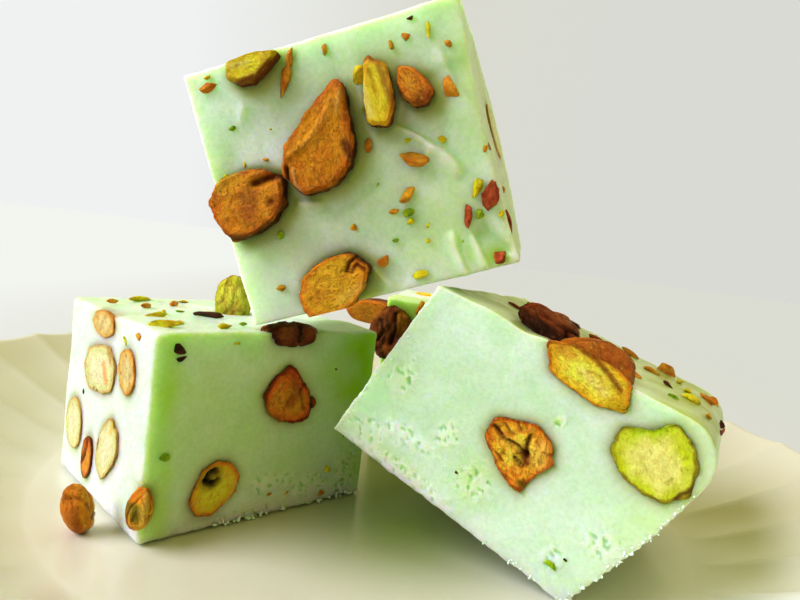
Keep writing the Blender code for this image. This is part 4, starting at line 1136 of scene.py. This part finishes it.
def tint_marks(piece, points, out, here):
    """How much painted green shade, olive shade and dark shade, and how much pale painted light, the tints
    give each point.
    """
    marks = {mark: np.zeros(len(points)) for mark in ("green", "stain", "pale", "pit")}
    cloud = 1 + 0.5 * ripple(here, 5.0, salt=14, octaves=3)
    for tint in piece.tints:
        share, u, v = on_face(points, out, tint.face)
        strength = share * soft_spot(tint, u, v) * tint.share * cloud
        marks[tint.mark] = np.maximum(marks[tint.mark], strength)
    return marks


def ragged(block, points):
    """Torn front edges of the leaning block, and the crumbs along the foot of the left one."""
    moved = points.copy()
    if block.name == "fudge_right":
        width = block.size[0]
        front = np.exp(-(points[:, 1] / 0.9) ** 2)
        right = ease(points[:, 0], width - 1.6, width - 0.1) * front
        step = (points[:, 2] + 0.6 * ripple(points, 2.4, salt=8)) / 1.2
        tooth = np.abs(step % 1.0 - 0.35) / 0.65 * (0.7 + 0.4 * ripple(points, 3.0, salt=7))
        torn = 0.50 * tooth - 0.15 + 0.14 * ripple(points, 0.8, salt=9)
        moved[:, 0] += right * torn * ease(-points[:, 2], -17, -12)
        foot = ease(-points[:, 2], -1.4, -0.1) * front
        moved[:, 2] -= foot * (0.16 * ripple(points, 1.1, salt=10, octaves=2) + 0.05)
        left = ease(-points[:, 0], -1.0, -0.1) * front
        moved[:, 0] -= left * 0.16 * ripple(points, 0.9, salt=12, octaves=2)
    if block.name == "fudge_left":
        front = np.exp(-(points[:, 1] / 1.2) ** 2)
        foot = ease(-points[:, 2], -1.6, -0.1) * front
        moved[:, 2] += foot * np.clip(0.35 * ripple(points, 1.6, salt=10, octaves=2), 0, 1)
        moved[:, 1] += foot * 0.25 * ripple(points, 1.2, salt=11, octaves=2)
    return moved


def shaped(piece, box):
    """Where points on the true box lie on the worn block, with the marks that colour it."""
    block = piece.block
    points, out = rounded(block, box)
    points = poured_swirl(block, points)
    axis, side = FACES[block.poured][:2]
    poured = ease(out[:, axis] * side, 0.2, 0.8)
    here = points + np.array(SEED_STEP) * block.seed
    depth = (1 - poured) * CUT_RELIEF * (0.5 + 0.5 * ripple(here, 4.5))
    depth += (1 - poured) * block.crumb * ripple(here, 0.9, salt=2, octaves=2)
    points = ragged(block, points)
    points = block.warp(points)
    crumb = np.zeros(len(points))
    pit = np.zeros(len(points))
    # each patch gives pale crumbs and painted dark shade in its pits
    for patch in piece.patches:
        sink, pale, dark = patch_crumbs(patch, points, out)
        depth += sink
        crumb = np.maximum(crumb, pale)
        pit = np.maximum(pit, dark)
    for fold in piece.folds:
        rise = fold_height(block, fold, points, out)
        depth -= rise
        # raised folds are painted paler along their crests, a painted highlight
        crumb = np.maximum(crumb, 0.6 * ease(rise, 0.15, 0.5))
    tints = tint_marks(piece, points, out, here)
    # pale tints are painted light, and pale crumb along the left block's foot
    crumb = np.maximum(crumb, tints["pale"])
    pit = np.maximum(pit, tints["pit"])
    depth, stain = press_nuts(piece, points, depth, tints["stain"])
    points = points - out * depth[:, None]
    marks = {"crumb": crumb, "pit": pit, "stain": stain, "green": tints["green"], "poured": poured}
    return block.settle(points), marks


def make_block(piece, material):
    """A block, from a fine grid over its true box."""
    block = piece.block
    cells = [max(8, round(side / block.cell)) for side in block.size]
    grid, quads = shell_grid(cells)
    box = grid / np.array(cells) * np.array(block.size)
    points, marks = shaped(piece, box)
    world = carry(block.matrix(), points)
    world[:, 2] = np.minimum(world[:, 2], CEILING)
    make_piece(block.name + "_block", world, quads, material, "fudge", [block.name], local=points, **marks)


# ---------------------------------------------------------------- nuts
def face_frame(block, item):
    """Local frame of a nut or chip on its face: X along its length, Z out of the block."""
    axis, side, across, up = FACES[item.face]
    spot, out, along = Vector((0, 0, 0)), Vector((0, 0, 0)), Vector((0, 0, 0))
    spot[across], spot[up] = item.u, item.v
    spot[axis] = block.size[axis] if side > 0 else 0.0
    out[axis] = side
    turn = math.radians(item.turn)
    along[across], along[up] = math.cos(turn), math.sin(turn)
    if item.face == "top":
        over = Matrix.Rotation(block.over_shoulder(spot), 3, "Y")
        out, along = over @ out, over @ along
    beside = out.cross(along)
    middle = Vector(block.warp(np.array([spot]))[0]) + out * item.lift
    if getattr(item, "stands", False):
        along, out = out, -along
    axes = Matrix((along, beside, out)).transposed().to_4x4()
    return Matrix.Translation(middle * MM) @ axes


def kernel(nut, unit):
    """Points of the kernel about its own middle, as lumpy as its solid."""
    seed = Vector((len(nut.name), nut.length, nut.width)) * NUT_SEED_STEP
    half = np.array((nut.length, nut.width, nut.thick)) / 2
    x, y, z = unit.T
    lump = 1.0 + NUT_LUMPS * np.array([noise.noise(Vector(p) * NUT_LUMP_SCALE + seed) for p in unit])
    slab = 1.0 if nut.sliced else nut.look.slab
    wide = np.hypot(x, y)
    grow = np.where(wide > 1e-6, wide ** slab / np.maximum(wide, 1e-6), 1.0)
    flat = np.sign(z) * np.abs(z) ** slab
    if slab < FLAT_TOP:
        flat = np.minimum(flat, FLAT_TOP + 0.1 * (flat - FLAT_TOP))
    if nut.outline:
        far = outline_radius(nut, np.arctan2(y, x)) * grow
        far *= 1 + wide * RAGGED * ripple(unit * 6 + nut.length, 1.4, octaves=3)
        buried = np.maximum(0, -z - STRAIGHT) / (1 - STRAIGHT)
        return np.stack([far * x + nut.slant[0] * buried, far * y + nut.slant[1] * buried,
                         half[2] * flat * lump], axis=1)
    shape = np.stack([half[0] * x * grow, half[1] * y * grow * (1 - nut.taper * x), half[2] * flat], axis=1)
    return shape * lump[:, None]


def cut_kernel(block, nut, points):
    """Flatten what stands out of the faces that were cut with the nut, and say where that is."""
    matrix = face_frame(block, nut)
    spots = carry(matrix, points)
    cut = np.zeros(len(points))
    for face in list(nut.trim) + ([nut.face] if nut.sliced else []):
        axis, side = FACES[face][:2]
        edge = spots.copy()
        edge[:, axis] = block.size[axis] if side > 0 else 0.0
        limit = block.warp(edge)[:, axis] if side > 0 else np.zeros(len(points))
        stop = limit + side * FLUSH
        over = (spots[:, axis] - stop) * side
        cut = np.maximum(cut, (over > 0) * 1.0)
        spots[:, axis] = np.where(over > 0, stop, spots[:, axis])
    return carry(matrix.inverted(), spots), cut


def paint_kernel(nut, unit, points, cut, lines):
    """Colour of each point of a kernel: flesh in the cut, skin round it, dark in creases, and a painted
    highlight round the edge of a whole kernel.
    """
    look = nut.look
    flesh, edge, skin, dark = (colour(*shade) for shade in (look.flesh, look.edge, look.skin, look.crease))
    wide = np.hypot(unit[:, 0], unit[:, 1])
    cloud = 0.5 + 0.5 * ripple(points * (0.5, 1, 1), 1.6, salt=20 + len(nut.name), octaves=3)
    inside = mix(flesh, edge, ease(wide + 0.5 * (cloud - 0.5), 0.35, 1.0))
    if nut.sliced:
        rim = ease(wide, 1 - look.rim - 0.10, 1 - look.rim * 0.3)
        face = mix(inside, skin, rim * 0.9)
        shade = mix(mix(skin, dark, 0.6 * cloud), face, cut)
    else:
        top = ease(unit[:, 2] + 0.2 * (cloud - 0.5), 0.02, 0.30)
        # a painted highlight round the edge of a whole kernel
        edge_highlight = np.exp(-((unit[:, 2] - EDGE_HIGHLIGHT_HEIGHT) / EDGE_HIGHLIGHT_WIDTH) ** 2) * ease(cloud, 0.3, 0.8)
        shade = mix(mix(skin, dark, cloud), inside, np.maximum(top, cut))
        shade = mix(shade, flesh * 1.15, 0.5 * edge_highlight)
    return np.minimum(look.gain * mix(shade, dark, lines * 0.6), BRIGHTEST)


def draw_strokes(nut, points, paint):
    """Press the strokes into the side of a kernel that shows, and colour them."""
    turn = math.radians(nut.turn)
    across = points[:, 0] * math.cos(turn) - points[:, 1] * math.sin(turn) + nut.u
    up = points[:, 0] * math.sin(turn) + points[:, 1] * math.cos(turn) + nut.v
    place = np.stack([across, up], axis=1)
    place += STROKE_WOBBLE * np.stack([ripple(points, 0.7, salt=salt) for salt in (51, 52)], axis=1)
    outer = ease(points[:, 2], -0.9, -0.3)
    for row in STROKES.get(nut.name, ()):
        stroke = Stroke(*row)
        spots = np.array(stroke.spots, float).reshape(-1, 2)
        away = np.linalg.norm(place - spots[0], axis=1)
        for start, end in zip(spots, spots[1:]):
            run = end - start
            along = np.clip((place - start) @ run / (run @ run), 0, 1)
            away = np.minimum(away, np.linalg.norm(place - start - along[:, None] * run, axis=1))
        mark = np.exp(-(away / stroke.width) ** 3) * outer
        points[:, 2] -= stroke.sink * mark
        paint = mix(paint, colour(*stroke.shade), stroke.share * mark)
    return paint


def kernel_relief(nut, unit, points, cut):
    """Wrinkles of the skin and roughness of a cut, along the kernel's own way out."""
    look = nut.look
    salt = 30 + len(nut.name) + int(nut.length * 10)
    stretched = points * GRAIN
    lines = crease(stretched, 2.2, salt, 9)
    rough = ripple(stretched, 0.8, salt + 1, 3)
    out = unit / np.linalg.norm(unit, axis=1, keepdims=True)
    out[cut > 0.5] = (0, 0, 1)
    craggy = look.crag * (ripple(points, 1.3, salt + 2, 3) - 0.8 * crease(points, 2.2, salt + 3, 8))
    top = ease(unit[:, 2], 0.2, 0.45) * (look.slab < FLAT_TOP)
    lines *= 1 - 0.8 * top
    flesh = 0.07 * ripple(stretched, 0.6, salt + 4, 3) + 0.10 * ripple(points, 2.6, salt + 5)
    skin = look.wrinkle * (0.6 * rough - lines) * (1 - top) + flesh * top
    height = np.where(cut > 0.5, craggy, skin)
    marks = np.where(cut > 0.5, crease(points, 2.2, salt + 3, 8) * min(1.0, look.crag * 4), lines)
    return points + out * height[:, None], marks


def make_nut(block, nut, materials, matrix=None):
    """A kernel in its block, or a loose one where the matrix puts it."""
    unit, faces = ball(nut.fine)
    points = kernel(nut, unit)
    cut = np.zeros(len(points))
    if block:
        points, cut = cut_kernel(block, nut, points)
    points, lines = kernel_relief(nut, unit, points, cut)
    paint = draw_strokes(nut, points, paint_kernel(nut, unit, points, cut, lines))
    if block:
        matrix = block.matrix() @ face_frame(block, nut)
    world = carry(matrix, points)
    world[:, 2] = np.clip(world[:, 2], FLOOR, CEILING)
    slot = nut.slot or nut.look.slot
    make_piece(nut.name.replace("nut_", "kernel_"), world, faces, materials[slot], slot, [nut.name],
               paint=opaque(paint), local=points, wear=np.full(len(points), nut.look.wear))


# ---------------------------------------------------------------- chips
CHIP_KINDS = {                # slot, light colour and deep colour
    "orange": ("nut_brown", (250, 190, 60), (230, 140, 30)),
    "gold": ("nut_brown", (254, 210, 70), (236, 166, 34)),
    "yellow": ("nut_green", (252, 246, 60), (240, 222, 22)),
    "green": ("nut_green", (196, 226, 44), (140, 186, 16)),
    "rust": ("nut_brown", (226, 120, 76), (176, 70, 34)),
    "dark": ("nut_dark", (104, 52, 32), (56, 24, 14)),
}
CHIP_WEAR = 0.4
CHIP_SINK = 0.15
CHIP_THICKNESS = 0.8          # as a share of its width
CHIP_SEED = 11
CRUMB_SEED = 23
CRUMB_SCATTER = 0.15
TEXTURE_SHIFT = 9             # each chip takes its texture from another place
CHIP_CUTS = 7                 # flat cuts that make a ball a splinter
SPLINTER_GROWTH = 1.12        # makes up for what the cuts take off
CRUMB_ROWS = (                # block, face, start and end on that face, how many, largest
    (LEFT, "front", (9.0, 0.4), (33.6, 0.4), 46, 0.9),
    (RIGHT, "front", (33.9, 0.6), (34.0, 17.0), 50, 0.55),
    (RIGHT, "front", (22.0, 0.2), (33.8, 0.5), 22, 0.5),
    (RIGHT, "front", (0.4, 0.5), (0.9, 16.0), 26, 0.5),
    (LEFT, "front", (29.0, 2.0), (33.0, 9.0), 16, 0.7),
)


def chip_shape(rng, size, fineness):
    """An angular splinter of the given length, width and thickness."""
    unit, faces = ball(fineness)
    points = unit * (1 + 0.22 * ripple(unit + rng.uniform(-50, 50, 3), 0.9, octaves=3))[:, None]
    for _ in range(CHIP_CUTS):
        way = rng.normal(size=3)
        way /= np.linalg.norm(way)
        over = points @ way - rng.uniform(0.35, 0.7)
        points -= np.maximum(over, 0)[:, None] * way
    return points * np.array(size) / 2 * SPLINTER_GROWTH, faces


def join(heap):
    """One set of points, faces and local places from many."""
    starts = np.cumsum([0] + [len(points) for points, _, _ in heap])
    points, faces, local = zip(*heap)
    return (np.concatenate(points), np.concatenate([f + start for f, start in zip(faces, starts)]),
            np.concatenate(local))


def make_chips(materials):
    """All the chips, joined into one piece for each colour."""
    rng = np.random.default_rng(CHIP_SEED)
    heaps = {kind: [] for kind in CHIP_KINDS}
    for piece in PILE:
        block = piece.block
        for chip in piece.chips:
            fineness = CHIP_FINENESS if chip.length > LONG_CHIP else CHIP_FINENESS - 1
            points, faces = chip_shape(rng, (chip.length, chip.width, chip.width * CHIP_THICKNESS), fineness)
            world = carry(block.matrix() @ face_frame(block, chip), points - (0, 0, CHIP_SINK))
            local = points + rng.uniform(-TEXTURE_SHIFT, TEXTURE_SHIFT, 3)
            heaps[chip.kind].append((world, faces, local))
    for kind, heap in heaps.items():
        slot, light, deep = CHIP_KINDS[kind]
        world, faces, local = join(heap)
        world[:, 2] = np.clip(world[:, 2], FLOOR, CEILING)
        paint = mix(colour(*light), colour(*deep), ease(ripple(local, 0.9, salt=40, octaves=2), -0.5, 0.5))
        make_piece("chips_" + kind, world, faces, materials[slot], slot, paint=opaque(paint), local=local,
                   wear=np.full(len(world), CHIP_WEAR))


def make_crumbs(material):
    """Loose crumbs of fudge along the torn edges."""
    rng = np.random.default_rng(CRUMB_SEED)
    heap = []
    for piece, face, start, end, count, largest in CRUMB_ROWS:
        for _ in range(count):
            spot = np.array(start) + (np.array(end) - start) * rng.uniform()
            spot += rng.normal(0, CRUMB_SCATTER, 2)
            size = largest * rng.uniform(0.35, 1.0) * rng.uniform(0.6, 1.0, 3)
            crumb = Chip(face, *np.maximum(spot, 0.1), 1.0, 1.0, rng.uniform(0, 180), lift=-0.1)
            points, faces = chip_shape(rng, size, CHIP_FINENESS - 1)
            world = carry(piece.block.matrix() @ face_frame(piece.block, crumb), points)
            heap.append((world, faces, points + rng.uniform(-TEXTURE_SHIFT, TEXTURE_SHIFT, 3)))
    world, faces, local = join(heap)
    world[:, 2] = np.maximum(world[:, 2], FLOOR)
    make_piece("fudge_crumbs", world, faces, material, "fudge", local=local)


# ---------------------------------------------------------------- studio
CAMERA_PLACE = (1.2, -97.6, 44.08)
CAMERA_DIP = 4.85            # degrees below level
CAMERA_ROLL = 7.32
CAMERA_FOCUS = 616.2         # focal length in pixels of the picture
PICTURE_WIDTH = 800
SENSOR = 36.0
VIEW_GAMMA = 0.78            # under 1, it gives the picture the steep shadows of the photograph
SUN_STRENGTH = 3.8
SUN_COLOUR = (1.0, 1.0, 1.26)
SUN_HEIGHT = 36.0            # degrees over the floor
SUN_SIDE = 18.0              # degrees from straight left towards the camera
SUN_SPREAD = 40.0            # degrees across, which softens the shadows
ROOM_NEAR = (0.50, 0.50, 0.36)    # light from the front left
ROOM_MIDDLE = (0.50, 0.46, 0.05)
ROOM_FAR = (1.08, 1.03, 0.74)     # light from the back right
SEEN_LEFT = (240, 242, 242)
SEEN_MIDDLE = (219, 219, 208)
SEEN_RIGHT = (217, 218, 212)
FLOOR_GLOW = 0.25            # share of the floor's tone that doesn't depend on the lights
FLOOR_LIGHT = np.array((1.30, 1.27, 1.19))  # what the lights above give the open floor
FLOOR_RADIUS = 6.0           # metres
FLOOR_FADE = 0.25            # metres either side of the dish over which the floor's tone changes


def shown(red, green, blue):
    """Linear colour that shows as the given one after VIEW_GAMMA."""
    return colour(*(255 * (value / 255) ** VIEW_GAMMA for value in (red, green, blue)))


def make_camera():
    """The camera of the photograph, fitted to the corners of the blocks."""
    lens = bpy.data.cameras.new("camera")
    lens.sensor_width = SENSOR
    lens.lens = CAMERA_FOCUS * SENSOR / PICTURE_WIDTH
    lens.clip_start = 0.001
    camera = place_object("camera", lens)
    camera.matrix_world = (Matrix.Translation(Vector(CAMERA_PLACE) * MM)
                           @ Matrix.Rotation(math.radians(90 - CAMERA_DIP), 4, "X")
                           @ Matrix.Rotation(math.radians(CAMERA_ROLL), 4, "Z"))
    bpy.context.scene.camera = camera


def make_light():
    """A wide soft window on the left."""
    lamp = bpy.data.lights.new("window", "SUN")
    lamp.energy = SUN_STRENGTH
    lamp.angle = math.radians(SUN_SPREAD)
    lamp.color = SUN_COLOUR
    window = place_object("window", lamp)
    side, height = math.radians(SUN_SIDE), math.radians(SUN_HEIGHT)
    level = math.cos(height)
    towards = Vector((-math.cos(side) * level, -math.sin(side) * level, math.sin(height)))
    window.rotation_euler = towards.to_track_quat("Z", "Y").to_euler()


def side_span(tree, place, far, way=(1.0, 0.0, 0.0)):
    """0 to 1 along a way through a place, from far before the middle to far behind it."""
    along = add_node(tree, "VectorMath", "Value", {0: place, 1: way}, operation="DOT_PRODUCT")
    return add_node(tree, "MapRange", "Result", {"Value": along, "From Min": -far, "From Max": far})


def make_world():
    """Soft room light, yellower to the back right; the camera sees a plain pale grey."""
    world = bpy.data.worlds.new("room")
    bpy.context.scene.world = world
    world.use_nodes = True
    tree = world.node_tree
    way = tree.nodes.new("ShaderNodeTexCoord").outputs["Generated"]
    light = add_ramp(tree, side_span(tree, way, 1.0, (0.71, 0.71, 0.0)),
                     (0.0, ROOM_NEAR), (0.5, ROOM_MIDDLE), (1.0, ROOM_FAR))
    plain = add_ramp(tree, side_span(tree, way, 0.5), (0.15, shown(*SEEN_LEFT)),
                     (0.5, shown(*SEEN_MIDDLE)), (0.85, shown(*SEEN_RIGHT)))
    seen = add_node(tree, "LightPath", "Is Camera Ray", {})
    fill(tree, tree.nodes["Background"], {"Color": add_mix(tree, light, plain, seen)})


def floor_material():
    """Pale and matt, and lifted to the tone of the room so that no horizon shows."""
    material, tree, shader = new_material("pale floor")
    where = tree.nodes.new("ShaderNodeTexCoord").outputs["Object"]
    side = side_span(tree, where, FLOOR_FADE)
    tones = [shown(*seen) for seen in (SEEN_LEFT, SEEN_MIDDLE, SEEN_RIGHT)]
    stops = (0.1, 0.5, 0.9)
    glow = add_ramp(tree, side, *zip(stops, (tone * FLOOR_GLOW for tone in tones)))
    bodies = (tone * (1 - FLOOR_GLOW) / FLOOR_LIGHT for tone in tones)
    body = add_ramp(tree, side, *zip(stops, bodies))
    fill(tree, shader, {"Emission Color": glow, "Base Color": body, "Emission Strength": 1.0,
                        "Roughness": 1.0, "Specular IOR Level": 0.0})
    return material


def make_floor():
    """A wide round floor under the dish."""
    shape = bmesh.new()
    bmesh.ops.create_circle(shape, cap_ends=True, segments=96, radius=FLOOR_RADIUS)
    mesh = bpy.data.meshes.new("floor")
    shape.to_mesh(mesh)
    shape.free()
    mesh.materials.append(floor_material())
    floor = place_object("floor", mesh)


# ---------------------------------------------------------------- everything
def main():
    make_camera()
    make_light()
    make_world()
    make_floor()
    bpy.context.scene.view_settings.view_transform = "Standard"
    bpy.context.scene.view_settings.gamma = VIEW_GAMMA
    fudge = fudge_material()
    materials = {
        "nut_brown": nut_material("toasted kernel", 0.38),
        "nut_dark": nut_material("dark kernel", 0.36, (0.5, 0.20, 0.05)),
        "nut_green": nut_material("green kernel", 0.36, (1.0, 0.90, 0.20)),
        "nut_pale": nut_material("pale kernel", 0.45, (1.0, 0.94, 0.60)),
    }
    make_dish(glaze_material())
    for piece in PILE:
        make_block(piece, fudge)
        for nut in piece.nuts:
            make_nut(piece.block, nut, materials)
    lean = Matrix.LocRotScale(Vector(LOOSE_NUT_PLACE) * MM, None, None)
    for axis, angle in zip("ZYX", reversed(LOOSE_NUT_LEAN)):
        lean = lean @ Matrix.Rotation(math.radians(angle), 4, axis)
    make_nut(None, LOOSE_NUT, materials, lean)
    make_chips(materials)
    make_crumbs(crumb_material())


main()
